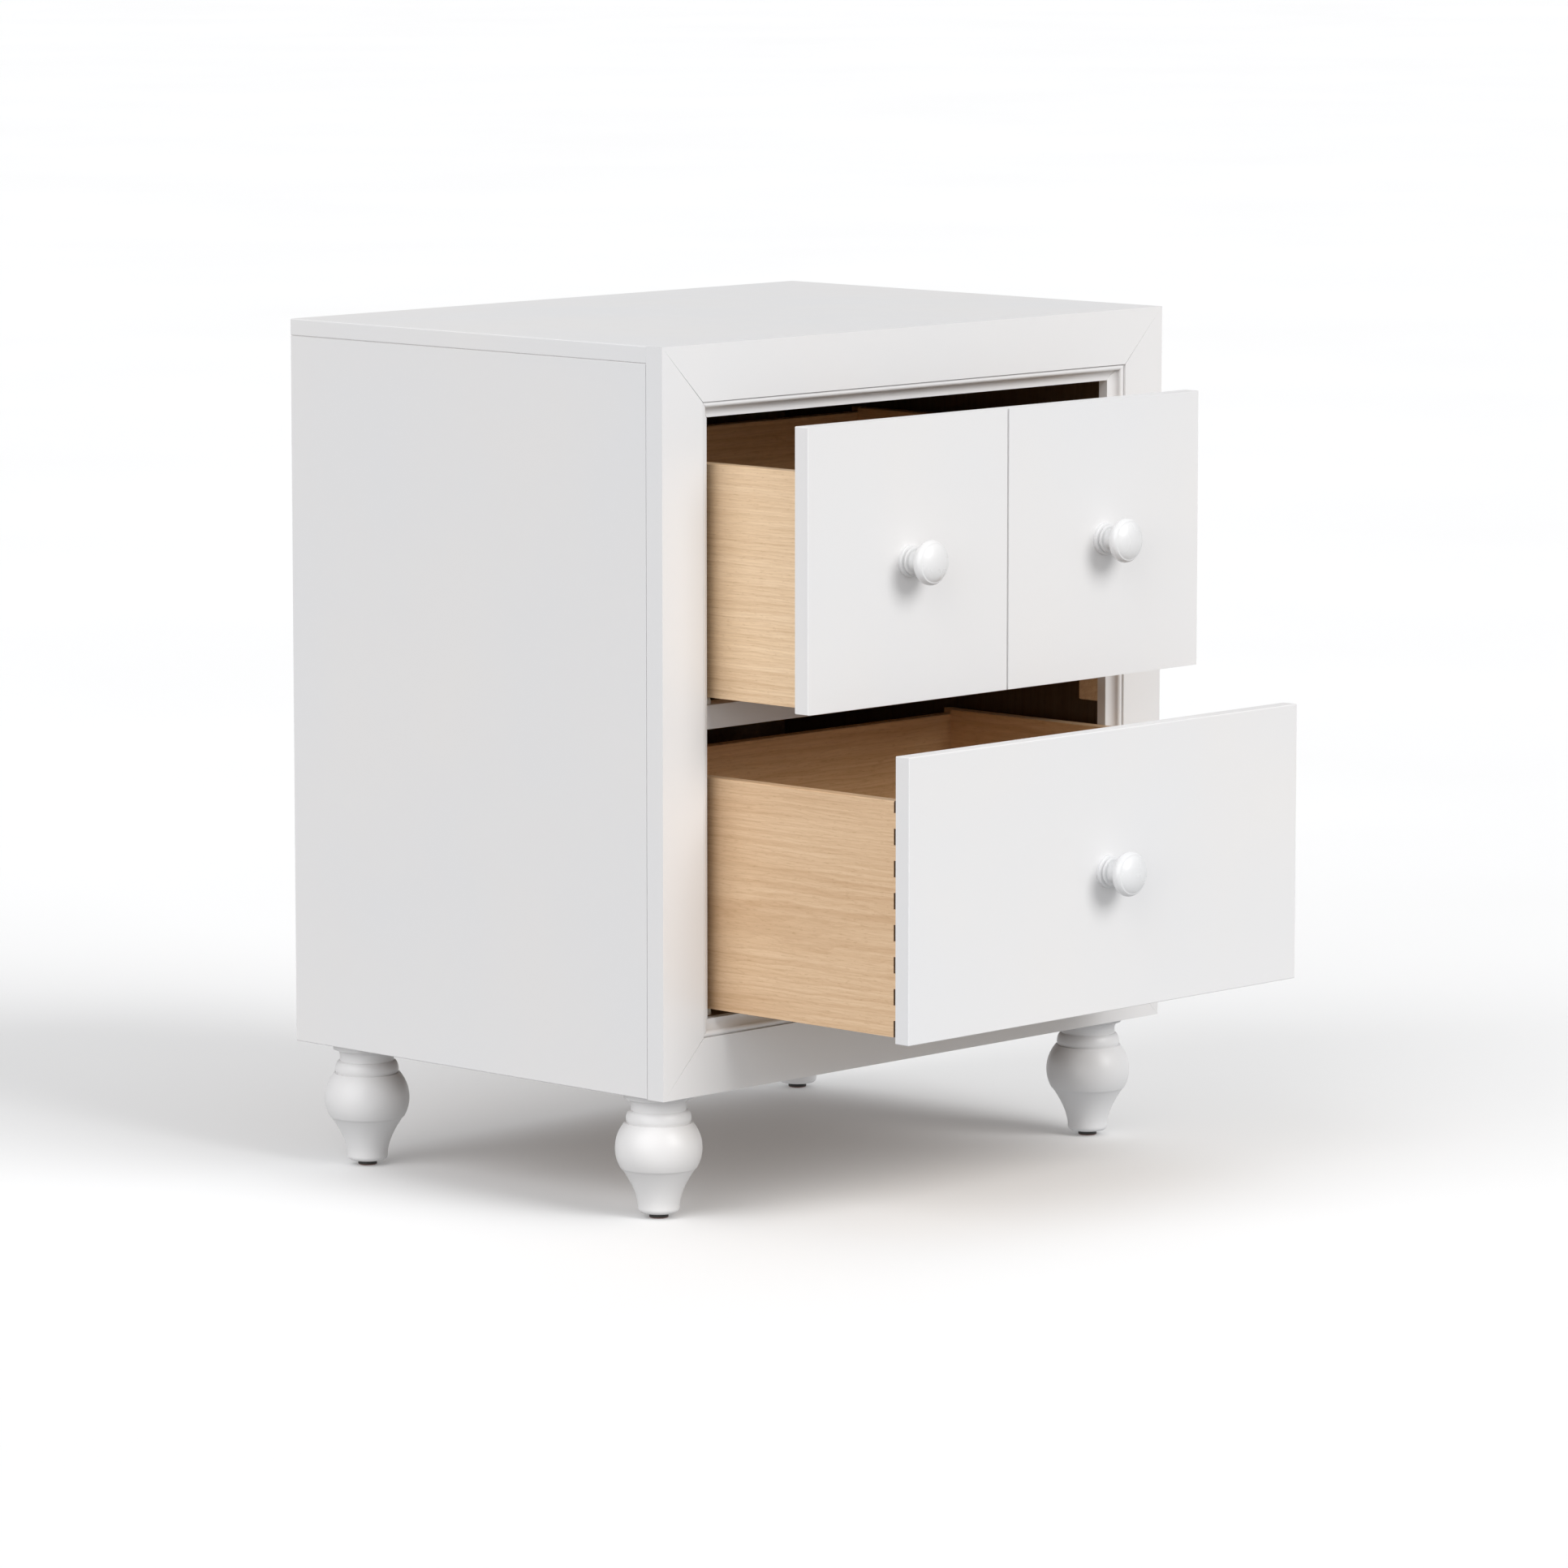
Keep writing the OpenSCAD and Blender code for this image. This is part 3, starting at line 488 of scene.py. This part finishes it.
def frame_member(name, node, length, place):
    bm = moulded_member(length)
    bmesh.ops.transform(bm, matrix=place, verts=bm.verts)
    bmesh.ops.recalc_face_normals(bm, faces=bm.faces)
    return finish_piece(name, bm, paint, node, sharp=30)


foot_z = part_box("frame_bottom_rail")[0].z
lowest, highest = Vector((frame_low.x, frame_low.y, foot_z)), frame_high
lie_down = Matrix.Rotation(math.radians(90), 4, "Y")
flip_x, flip_z = Matrix.Scale(-1, 4, (1, 0, 0)), Matrix.Scale(-1, 4, (0, 0, 1))
left_place = Matrix.Translation(lowest)
top_place = Matrix.Translation((lowest.x, lowest.y, highest.z)) @ lie_down
bottom_place = Matrix.Translation(lowest) @ flip_z @ lie_down
frame_member("left_stile", "frame_left_stile", highest.z - foot_z, left_place)
frame_member("right_stile", "frame_right_stile", highest.z - foot_z, flip_x @ left_place)
frame_member("top_frame_rail", "frame_top_rail", highest.x - lowest.x, top_place)
frame_member("bottom_frame_rail", "frame_bottom_rail", highest.x - lowest.x, bottom_place)

# %% [markdown]
# ## Rails, runners and stops
# Inside, nothing is painted. Rails cross the case at the front and the back, a runner joins each
# pair, and the drawer straddles it. The glue blocks under the divider rail keep it square. Edges are
# eased a little more on what a hand or a drawer rubs past.

# %% Inner woodwork
boards("lower_front_rail_board", brown_wood["X"], "lower_front_rail")
boards("rear_rail_boards", brown_wood["X"], "upper_rear_rail")
boards("lower_rear_rail_board", brown_wood["X"], "lower_rear_rail")
boards("upper_runner_board", maple["Y"], "upper_runner", ease=2 * MM, segments=3)
boards("lower_runner_board", maple["Y"], "lower_runner", ease=2 * MM, segments=3)
boards("glue_blocks", maple["X"], "rail_blocks", ease=1.2 * MM)
boards("stop_blocks", brown_wood["Z"], "rear_stops", ease=1.5 * MM)
boards("foot_block_boards", brown_wood["X"], "foot_blocks", ease=1.5 * MM)

# %% [markdown]
# ## Turned work
# Feet and knobs come off a lathe, and Spin is Blender's lathe: an outline of edges in one plane is
# swept round an axis and its last copy is merged with its first. The outline is written as the turner
# would name it, from the base up: a rounded base, a taper that flares, a crease, a full belly, a
# ring, a neck, and a hollow out to the collar under the case.


# %% The lathe
def turned(outline, steps=96):
    """Spins an outline of (radius, height) points round Z into a closed shell."""
    bm = bmesh.new()
    points = [bm.verts.new((radius, 0, height)) for radius, height in outline]
    edges = [bm.edges.new(pair) for pair in zip(points, points[1:])]
    bmesh.ops.spin(bm, geom=points + edges, axis=(0, 0, 1), cent=(0, 0, 0), steps=steps,
                   angle=math.tau, use_merge=True)
    bmesh.ops.remove_doubles(bm, verts=bm.verts, dist=NEAR)
    bmesh.ops.recalc_face_normals(bm, faces=bm.faces)
    return bm


def upright(low, high, height=0):
    """The matrix that sets a turned shape at a height on the middle of a box."""
    return Matrix.Translation(((low.x + high.x) / 2, (low.y + high.y) / 2, height))


def join(bm, shape):
    """Adds a whole bmesh to bm, by way of a spare mesh, and frees it."""
    spare = bpy.data.meshes.new("spare")
    shape.to_mesh(spare)
    shape.free()
    bm.from_mesh(spare)
    bpy.data.meshes.remove(spare)


def add_turned(bm, outline, place, steps=32):
    """Adds a turned shape to bm, moved by the matrix place."""
    shape = turned(outline, steps)
    bmesh.ops.transform(shape, matrix=place, verts=shape.verts)
    join(bm, shape)


# %% The outline of a foot
FOOT_H = foot_z
GLIDE_H, BASE_R, BELLY_R, COLLAR_R, NECK_R, RING_R = (v * MM for v in (4.3, 17.2, 36, 28.7, 23, 27))
BELLY_Z, BELLY_HALF, CREASE_Z, RING_Z = FOOT_H - 48 * MM, 34 * MM, FOOT_H - 64 * MM, FOOT_H - 26.7 * MM
CREASE_R, NECK_Z, COLLAR_Z, ROUND = BELLY_R - 4.5 * MM, FOOT_H - 16 * MM, FOOT_H - 6 * MM, 4 * MM
TAPER_Z, TAPER_STEPS, FLARE = GLIDE_H + ROUND + MM, 16, 1.7
CREASE_IN, CREASE_H, EASE = 0.5 * MM, 0.4 * MM, 0.4 * MM
RING_TOP, HOLLOW_Z = RING_Z + 2.7 * MM, NECK_Z + 4 * MM


def belly_angle(height):
    return math.degrees(math.asin((height - BELLY_Z) / BELLY_HALF))


foot_outline = [(0, GLIDE_H), (BASE_R - ROUND - 4 * MM, GLIDE_H)]
foot_outline += arc((BASE_R - ROUND, GLIDE_H + ROUND), ROUND, ROUND, -90, 0, 8)
foot_outline += [(BASE_R + (CREASE_R - CREASE_IN - BASE_R) * (step / TAPER_STEPS) ** FLARE,
                  TAPER_Z + (CREASE_Z - CREASE_H - TAPER_Z) * step / TAPER_STEPS)
                 for step in range(TAPER_STEPS + 1)]
foot_outline += arc((0, BELLY_Z), BELLY_R, BELLY_HALF, belly_angle(CREASE_Z), belly_angle(RING_Z), 28)
foot_outline += [(RING_R - 0.9 * MM, RING_Z - 0.1 * MM), (RING_R - 0.3 * MM, RING_Z + 1.2 * MM)]
foot_outline += arc((NECK_R, RING_TOP), RING_R - NECK_R, NECK_Z - RING_TOP, 0, 90, 12)
foot_outline += arc((COLLAR_R, HOLLOW_Z), COLLAR_R - NECK_R, COLLAR_Z - HOLLOW_Z, 180, 90, 12)
foot_outline += [(COLLAR_R, FOOT_H - EASE), (COLLAR_R - EASE, FOOT_H), (0, FOOT_H)]
print("foot outline:", len(foot_outline), "points")

# %% Four feet and their glides
for node in ("front_left_foot", "front_right_foot", "rear_left_foot", "rear_right_foot"):
    low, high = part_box(node)
    foot = turned(foot_outline)
    bmesh.ops.transform(foot, matrix=upright(low, high), verts=foot.verts)
    finish_piece(node.replace("foot", "turned_foot"), foot, paint, node, sharp=28)

GLIDE_R, GLIDE_ROUND, GLIDE_TOP_R, FELT_H = (v * MM for v in (8, 0.8, 5.5, 1.5))
flat_r, glide_top = GLIDE_R - GLIDE_ROUND, GLIDE_H + 0.2 * MM
glide_outline = [(0, 0), *arc((flat_r, GLIDE_ROUND), GLIDE_ROUND, GLIDE_ROUND, -90, 0, 4),
                 *arc((flat_r, GLIDE_H - 0.6 * MM), GLIDE_ROUND, GLIDE_ROUND, 0, 50, 3),
                 (GLIDE_TOP_R, glide_top), (0, glide_top)]
glides = bmesh.new()
for low, high in solids("foot_glides"):
    add_turned(glides, glide_outline, upright(low, high), steps=48)
for face in glides.faces:
    face.material_index = int(face.calc_center_median().z < FELT_H)
finish_piece("foot_glide_pads", glides, [black_plastic, brown_felt], "foot_glides")

# %% [markdown]
# ### Knobs
# A knob is turned too, with its axis pointing out of the drawer: a flat rosette, a ring, a waisted
# neck and a round head. A fine step near the edge of the head's face is the mark of a good turner,
# and it catches a thin crescent of shade.

# %% Three knobs
HEAD_R, HEAD_HALF, KNOB_OUT, ROSETTE_R, WAIST_R, STEP = (v * MM for v in (18.5, 9.5, 24, 13.5, 7.6, 0.6))
RING_OUT, WAIST_Z = ROSETTE_R - 2 * MM, KNOB_OUT - HEAD_HALF - 4 * MM
ROSETTE_H, GROOVE_H, RING_MID, RING_ROUND, HOLLOW_H = (v * MM for v in (2.4, 3.6, 5.4, 1.5, 7))
HOLLOW_R, HEAD_FOOT_R = RING_OUT - 2 * MM, 9 * MM
head_start = -math.degrees(math.asin(math.sqrt(1 - (HEAD_FOOT_R / HEAD_R) ** 2)))

knob_outline = [(0, 0), (ROSETTE_R, 0)]
knob_outline += arc((ROSETTE_R - MM, ROSETTE_H), MM, MM, 0, 85, 6)
knob_outline += [(RING_OUT - 0.8 * MM, GROOVE_H)]
knob_outline += arc((RING_OUT - RING_ROUND, RING_MID), RING_ROUND, RING_ROUND, -75, 75, 12)
knob_outline += arc((HOLLOW_R, WAIST_Z), HOLLOW_R - WAIST_R, WAIST_Z - HOLLOW_H, 270, 180, 10)
knob_outline += arc((0, KNOB_OUT), HEAD_R, HEAD_HALF, head_start, 27, 30)
knob_outline += arc((0, KNOB_OUT), HEAD_R - STEP, HEAD_HALF - STEP / 2, 29, 90, 18)
out_of_drawer = Matrix.Rotation(math.radians(90), 4, "X")
print("knob outline:", len(knob_outline), "points")

for node in ("upper_left_knob", "upper_right_knob", "lower_knob"):
    low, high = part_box(node)
    knob = turned(knob_outline)
    centre = Vector(((low.x + high.x) / 2, high.y, (low.z + high.z) / 2))
    bmesh.ops.transform(knob, matrix=Matrix.Translation(centre) @ out_of_drawer, verts=knob.verts)
    finish_piece(node.replace("knob", "turned_knob"), knob, knob_paint, node, sharp=32)

# %% [markdown]
# ## Drawers
# A drawer is a painted front on a box of light maple. The upper front is one board, parted by a
# narrow groove so that it looks like two. Behind it the sides are dovetailed: wedges on the end of
# each side enter the front, and between the wedges the side stops short, which leaves a row of
# slots down the joint. The end faces in the slots are dark brown, partly because end grain is
# darker and partly as painted shade that deepens the slots.


# %% Drawer fronts
def drawer_front(name, node, groove=None):
    """A front with eased edges. groove gives the width and depth of a groove down its middle."""
    low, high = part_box(node)
    outline = [(low.x, low.y), (low.x, high.y), (high.x, high.y), (high.x, low.y)]
    if groove:
        half, deep = groove[0] / 2, groove[1]
        outline += [(half, low.y), (half, low.y + deep), (-half, low.y + deep), (-half, low.y)]
    bm = extruded([(x, y, low.z) for x, y in outline], (0, 0, high.z - low.z))
    ease_edges(bm, 0.8 * MM, lambda e: turns(e) and all(abs(v.co.x) > 10 * MM for v in e.verts), segments=3)
    ease_edges(bm, 0.25 * MM, lambda e: turns(e) and all(abs(v.co.x) < 2 * MM for v in e.verts)
               and abs((e.verts[0].co - e.verts[1].co).z) > LONG)
    return finish_piece(name, bm, paint, node)


drawer_front("upper_front_board", "upper_front", groove=(2 * MM, 2 * MM))
drawer_front("lower_front_board", "lower_front")

# %% [markdown]
# ### Box sides
# A side begins as its end section with the groove for the bottom, pushed back to where the back
# board enters. There the section loses its inner half, so the end face is cut with Bisect and only
# the part that goes on is extruded. At the front the same two tools make the dovetails. The upper
# box was driven home, and its slots are hairlines. The lower one stands off a few millimetres.

# %% Box sides with dovetails
TAIL_W, TAIL_PITCH, TAIL_SHIFT, TAILS = 12.5 * MM, 25.9 * MM, 1.9 * MM, 7
TAIL_GAPS = {"upper": 0.6 * MM, "lower": 3.3 * MM}
TAIL_BITE = 0.2 * MM  # how far a tail enters the front


def faces_at(bm, y):
    """Faces that lie in the plane across the drawer at y."""
    return [face for face in bm.faces if all(abs(vertex.co.y - y) < NEAR for vertex in face.verts)]


def middle_height(face):
    """Half way between a face's lowest and highest points."""
    heights = [vertex.co.z for vertex in face.verts]
    return (min(heights) + max(heights)) / 2


def cut_faces(bm, faces, point, normal):
    """Cuts faces in two where a plane crosses them, and keeps both halves."""
    around = {item for face in faces for item in (face, *face.edges, *face.verts)}
    bmesh.ops.bisect_plane(bm, geom=list(around), plane_co=point, plane_no=normal)


def push_faces(bm, faces, by):
    """Extrudes faces together along Y and drops the copies left inside."""
    pushed = bmesh.ops.extrude_face_region(bm, geom=faces)["geom"]
    bmesh.ops.translate(bm, vec=(0, by, 0), verts=[v for v in pushed if isinstance(v, bmesh.types.BMVert)])
    left_inside = [face for face in faces if face.is_valid]
    bmesh.ops.delete(bm, geom=left_inside, context="FACES")


def box_side(name, node, drawer):
    low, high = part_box(node)
    floor_low, floor_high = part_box(drawer + "_bottom")
    outward = 1 if low.x > 0 else -1
    inner, outer = (low.x, high.x) if outward > 0 else (high.x, low.x)
    groove = floor_high.x * outward
    gap = TAIL_GAPS[drawer]
    root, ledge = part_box(drawer + "_front")[1].y + gap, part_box(drawer + "_back")[0].y
    outline = [(outer, low.z), (outer, high.z), (inner, high.z), (inner, floor_high.z),
               (groove, floor_high.z), (groove, floor_low.z), (inner, floor_low.z), (inner, low.z)]
    bm = extruded([(x, root, z) for x, z in outline], (0, ledge - root, 0))
    cut_faces(bm, faces_at(bm, ledge), (groove, 0, 0), (1, 0, 0))
    centres = {face: face.calc_center_median() for face in faces_at(bm, ledge)}
    going_on = [face for face, centre in centres.items()
                if centre.x * outward > groove * outward or centre.z < floor_low.z]
    push_faces(bm, going_on, high.y - ledge)
    first = (low.z + high.z) / 2 - (TAILS - 1) / 2 * TAIL_PITCH + TAIL_SHIFT
    for tail in range(TAILS):
        bottom = first + tail * TAIL_PITCH - TAIL_W / 2
        cut_faces(bm, faces_at(bm, root), (0, 0, bottom), (0, 0, 1))
        cut_faces(bm, faces_at(bm, root), (0, 0, bottom + TAIL_W), (0, 0, 1))
        strip = [face for face in faces_at(bm, root) if bottom < middle_height(face) < bottom + TAIL_W]
        push_faces(bm, strip, -gap - TAIL_BITE)
    bmesh.ops.recalc_face_normals(bm, faces=bm.faces)
    ease_edges(bm, 1.2 * MM, lambda e: turns(e, 80, 100) and all(v.co.z > high.z - NEAR for v in e.verts)
               and abs((e.verts[0].co - e.verts[1].co).y) > LONG, segments=3)
    for face in bm.faces:
        # End faces between the tails take the dark brown: partly darker end grain, partly painted shade that
        # deepens the slots.
        if face.normal.y < -0.9 and abs(face.calc_center_median().y - root) < NEAR:
            face.material_index = 1
        # Faces that look into the box take the darker maple, which is painted shade.
        elif face.normal.x * outward < -0.9:
            face.material_index = 2
    print(name, "open edges:", sum(not edge.is_manifold for edge in bm.edges))
    outside = maple_sides[drawer, "left" if outward < 0 else "right"]
    return finish_piece(name, bm, [outside, brown_wood["X"], painted_shade_maple["Y"]], node)


for drawer in ("upper", "lower"):
    box_side(f"{drawer}_left_box_side", f"{drawer}_left_side", drawer)
    box_side(f"{drawer}_right_box_side", f"{drawer}_right_side", drawer)
    # The back's inner face takes the darker maple, which is painted shade.
    boards(f"{drawer}_box_back", [maple["X"], painted_shade_maple["X"]], f"{drawer}_back",
           ease=1.1 * MM, segments=3, inner=(0, -1, 0))
    boards(f"{drawer}_box_bottom", maple["X"], f"{drawer}_bottom", ease=0.2 * MM)
    boards(f"{drawer}_guides", maple["Y"], f"{drawer}_guide_strips", ease=MM)

# %% [markdown]
# ### The nylon shoe
# Behind the strips a moulded shoe rides astride the runner. It is a channel: one outline with its
# mouth down, pushed to its length, with rounded edges because it was moulded.

# %% Shoes, stop pegs and slide buttons
BRIDGE, LEG = 3 * MM, 10 * MM
for drawer in ("upper", "lower"):
    low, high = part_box(drawer + "_shoe")
    channel = [(low.x, low.z), (low.x, high.z), (high.x, high.z), (high.x, low.z),
               (high.x - LEG, low.z), (high.x - LEG, high.z - BRIDGE),
               (low.x + LEG, high.z - BRIDGE), (low.x + LEG, low.z)]
    shoe = extruded([(x, low.y, z) for x, z in channel], (0, high.y - low.y, 0))
    ease_edges(shoe, 0.9 * MM, turns, segments=3)
    finish_piece(drawer + "_nylon_shoe", shoe, nylon, drawer + "_shoe")


def turned_at_each(name, material, node, outline_of):
    """A turned shape, its axis upright, in the middle of each solid of a node."""
    bm = bmesh.new()
    for low, high in solids(node):
        add_turned(bm, outline_of(high - low), upright(low, high, low.z))
    return finish_piece(name, bm, material, node)


def peg_outline(size):
    r, h, ease = size.x / 2, size.z, 0.6 * MM
    return [(0, 0), (r, 0), *arc((r - ease, h - ease), ease, ease, 0, 90, 4), (0, h)]


def button_outline(size):
    """A domed button on a nail. The nail's tip is at the bottom, the seat under the button's rim."""
    r, top, nail, tip, seat, rim, dome = size.x / 2, size.z, MM, 0.3 * MM, 10 * MM, 11.5 * MM, 3 * MM
    return [(0, 0), (nail, tip), (nail, seat), (r, seat), (r, rim),
            *arc((r - dome, rim), dome, top - rim, 0, 90, 8), (0, top)]


turned_at_each("stop_pegs", nylon, "runner_pegs", peg_outline)
turned_at_each("slide_buttons", nylon, "rail_buttons", button_outline)

# %% [markdown]
# ## Screws and nails
# A screw head is only a few millimetres wide, but a plain disc reads as a sticker. A cone gives the
# countersunk head; its top face is inset, the inset's corners are pulled in to a cross, and the
# cross is pushed down to make the recess. The shank grows from the bottom face in the same way.


# %% One screw with a cross recess
RIM_SHARE, RECESS_SHARE, RECESS_TAPER = 0.28, 0.55, 0.6  # the first two are shares of the head's radius
CROSS_WAIST = 0.38  # how near the recess comes to the middle between two arms of the cross


def cross_screw(head_r, under_r, shank_r, head_h, length):
    """A screw along -Z with the top of its head at z = 0."""
    bm = bmesh.new()
    bmesh.ops.create_cone(bm, cap_ends=True, segments=24, radius1=under_r, radius2=head_r, depth=head_h)
    bmesh.ops.translate(bm, vec=(0, 0, -head_h / 2), verts=bm.verts)
    top = max(bm.faces, key=lambda face: face.calc_center_median().z)
    bottom = min(bm.faces, key=lambda face: face.calc_center_median().z)
    bmesh.ops.inset_region(bm, faces=[top], thickness=RIM_SHARE * head_r)
    for vertex in top.verts:
        lobe = abs(math.cos(2 * math.atan2(vertex.co.y, vertex.co.x))) ** 4
        vertex.co.xy *= CROSS_WAIST + (1 - CROSS_WAIST) * lobe
    recess = bmesh.ops.extrude_discrete_faces(bm, faces=[top])["faces"][0]
    bmesh.ops.translate(bm, vec=(0, 0, -RECESS_SHARE * head_r), verts=recess.verts)
    bmesh.ops.scale(bm, vec=(RECESS_TAPER, RECESS_TAPER, 1), verts=recess.verts)
    if under_r > shank_r:
        bmesh.ops.inset_region(bm, faces=[bottom], thickness=under_r - shank_r)
    shank = bmesh.ops.extrude_discrete_faces(bm, faces=[bottom])["faces"][0]
    bmesh.ops.translate(bm, vec=(0, 0, -(length - head_h)), verts=shank.verts)
    return bm


def screws(name, material, node, axis, head_r, under_r, shank_r, head_h, proud=0.1 * MM):
    """A screw for every solid of a node. axis is the way its head looks, such as '+Y'."""
    along, sign = "XYZ".index(axis[1]), 1 if axis[0] == "+" else -1
    look = Vector([sign if k == along else 0 for k in range(3)])
    bm = bmesh.new()
    for low, high in solids(node):
        seat = (low + high) / 2
        seat[along] = (high if sign > 0 else low)[along] + sign * proud
        screw = cross_screw(head_r, under_r, shank_r, head_h, (high - low)[along])
        turn = look.to_track_quat("Z", "Y").to_matrix().to_4x4()
        bmesh.ops.transform(screw, matrix=Matrix.Translation(seat) @ turn, verts=screw.verts)
        join(bm, screw)
    return finish_piece(name, bm, material, node, sharp=30)


# Radius of the head on top and below, radius of the shank, height of the head
SMALL_WOOD_SCREW = 3.2 * MM, 1.5 * MM, 1.5 * MM, 1.7 * MM
RUNNER_SCREW = 4 * MM, 2 * MM, 2 * MM, 2 * MM
KNOB_BOLT = 4 * MM, 5 * MM, 2 * MM, 2.4 * MM
screws("back_panel_screws", brass_zinc, "back_screws", "+Y", *SMALL_WOOD_SCREW)
screws("runner_wood_screws", brass_zinc, "runner_screws", "+Z", *RUNNER_SCREW)
for drawer in ("upper", "lower"):
    screws(drawer + "_shoe_wood_screws", brass_zinc, drawer + "_shoe_screws", "-Z", *SMALL_WOOD_SCREW)
screws("upper_knob_bolts", zinc, "upper_knob_screws", "+Y", *KNOB_BOLT, proud=0)
screws("lower_knob_bolt", zinc, "lower_knob_screw", "+Y", *KNOB_BOLT, proud=0)

# %% [markdown]
# ### Brads
# The corners of each box are pinned with headless brads, punched in almost flush. Each one is a
# thin rod with a softened end that stands a hair proud of the maple.


# %% Brads at the box corners
def brads(name, node):
    bm = bmesh.new()
    for low, high in solids(node):
        size, centre = high - low, (low + high) / 2
        along = max(range(3), key=lambda axis: size[axis])
        radius = min(size) / 2
        turn = Vector([float(k == along) for k in range(3)]).to_track_quat("Z", "Y").to_matrix().to_4x4()
        rod = bmesh.ops.create_cone(bm, cap_ends=True, segments=12, radius1=radius, radius2=radius,
                                    depth=size[along] + 0.1 * MM,
                                    matrix=Matrix.Translation(centre) @ turn)["verts"]
        rims = {e for v in rod for e in v.link_edges if turns(e, 60, 120)}
        bmesh.ops.bevel(bm, geom=list(rims), offset=0.2 * MM, segments=1, profile=0.5,
                        affect="EDGES", material=-1)
    return finish_piece(name, bm, zinc, node)


brads("upper_corner_brads", "upper_brads")
brads("lower_corner_brads", "lower_brads")

# %% [markdown]
# ## What stays hidden
# Dowels, foot bolts and their inserts are inside the wood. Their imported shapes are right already,
# so they only get a finish, put into each mesh's own material slots.

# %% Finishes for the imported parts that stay
HIDDEN = {"panel_dowels": beech, "frame_dowels": beech, "foot_inserts": brass_zinc, "foot_bolts": zinc}
for node, material in HIDDEN.items():
    mesh = frame["nodes"][node].data
    mesh.materials.clear()
    mesh.materials.append(material)
shown = [node for node, piece in frame["nodes"].items() if not piece.hide_render]
print("packed parts that stay:", sorted(shown))

# %% [markdown]
# ## The studio
# A nightstand like this is shot in a white studio, with a pale floor, light from above and around,
# and one broad lamp in front that makes the fronts the brightest faces and drops a soft shadow under
# each knob. A floor this pale would also throw a lot of light up at the rails and the feet. The floor
# here takes shadows but is hidden from diffuse rays, and the world's lower half, set dimmer than its
# upper half, stands in for a quiet bounce.


# %% Floor and world
FLOOR_R = 60  # metres, so that its edge is far behind the piece
HORIZON = 0.1  # half the height of the band where the world's two levels blend


def studio_floor(tone, glow):
    bm = bmesh.new()
    bmesh.ops.create_circle(bm, cap_ends=True, segments=64, radius=FLOOR_R)
    mesh = bpy.data.meshes.new("studio_floor")
    bm.to_mesh(mesh)
    bm.free()
    material, tree, shader = new_finish("lit_floor", 0.8, Emission_Color=(1, 1, 1, 1), Emission_Strength=glow)
    cloud = sized_noise(tree, 1.2, 2).outputs["Fac"]
    grey = ramp(tree, cloud, (0.3, (tone,) * 3), (0.7, (tone + 0.02,) * 3))
    tree.links.new(grey, shader.inputs["Base Color"])
    mesh.materials.append(material)
    floor = bpy.data.objects.new("studio_floor", mesh)
    bpy.context.scene.collection.objects.link(floor)
    floor.visible_diffuse = False


def studio_world(above, below):
    """Even light from above, and a dimmer one from below."""
    world = bpy.data.worlds.new("white_studio")
    bpy.context.scene.world = world
    world.use_nodes = True
    tree = world.node_tree
    direction = add_node(tree, "ShaderNodeTexCoord").outputs["Generated"]
    height = add_node(tree, "ShaderNodeSeparateXYZ", {"Vector": direction}).outputs["Z"]
    level = add_node(tree, "ShaderNodeMapRange", {"Value": height, "From Min": -HORIZON, "From Max": HORIZON,
                                                  "To Min": below, "To Max": above}).outputs[0]
    sky = tree.nodes["Background"]
    sky.inputs["Color"].default_value = (0.985, 0.99, 1, 1)
    tree.links.new(level, sky.inputs["Strength"])
    print("world strength:", above, "above and", below, "below")


studio_floor(tone=0.86, glow=0.07)
studio_world(above=0.55, below=0.39)
bpy.context.scene.view_settings.view_transform = "Standard"

# %% [markdown]
# ### The lamps
# A Sun stands in for a broad lamp far away: its light is as strong on the floor behind as on the
# fronts, and its angle sets how soft the shadows are. The key lamp stands nearly straight in front
# and a third of the way up, so a knob's shadow falls below it. A very soft lamp on the left lifts
# the side.


# %% Two lamps
LAMP_OUT = 3  # metres from the origin; only for show, as a Sun lights everything alike


def lamp(name, turn, height, spread_angle, strength, tint):
    """A far lamp. turn is 0 straight in front and grows to the right; the angles are in degrees."""
    turn, height = math.radians(turn), math.radians(height)
    across, up = math.cos(height), math.sin(height)
    towards = Vector((math.sin(turn) * across, -math.cos(turn) * across, up))
    light = bpy.data.lights.new(name, "SUN")
    light.energy, light.angle, light.color = strength, math.radians(spread_angle), tint
    holder = bpy.data.objects.new(name, light)
    holder.location = towards * LAMP_OUT
    holder.rotation_euler = towards.to_track_quat("Z", "Y").to_euler()
    bpy.context.scene.collection.objects.link(holder)
    print(name, "looks along", [round(-part, 2) for part in towards])


lamp("key_lamp", 6, 31, 34, 1.9, (1, 0.994, 0.988))
lamp("left_fill", -82, 28, 60, 1.65, (0.99, 0.99, 1))

# %% [markdown]
# ## The camera
# A long lens from a few metres away keeps the case's edges almost parallel. Its place and direction
# are three plain facts: where it stands, how far it turns to the right, and how far it looks down.

# %% Camera
LENS, SENSOR_W = 183.3, 36  # millimetres, as on a real camera
SEES_TO = 200  # metres, past the far edge of the floor
STANDS = Vector((-4.854, -4.583, 1.234))
LOOK_DOWN, TURN_RIGHT = math.radians(7.73), math.radians(46.28)

camera_data = bpy.data.cameras.new("camera")
camera_data.lens, camera_data.sensor_width, camera_data.clip_end = LENS, SENSOR_W, SEES_TO
camera = bpy.data.objects.new("camera", camera_data)
camera.location = STANDS
camera.rotation_euler = (math.radians(90) - LOOK_DOWN, 0, -TURN_RIGHT)
bpy.context.scene.collection.objects.link(camera)
bpy.context.scene.camera = camera
print(f"camera {STANDS.length:.2f} m from the origin, {STANDS.z:.2f} m up")
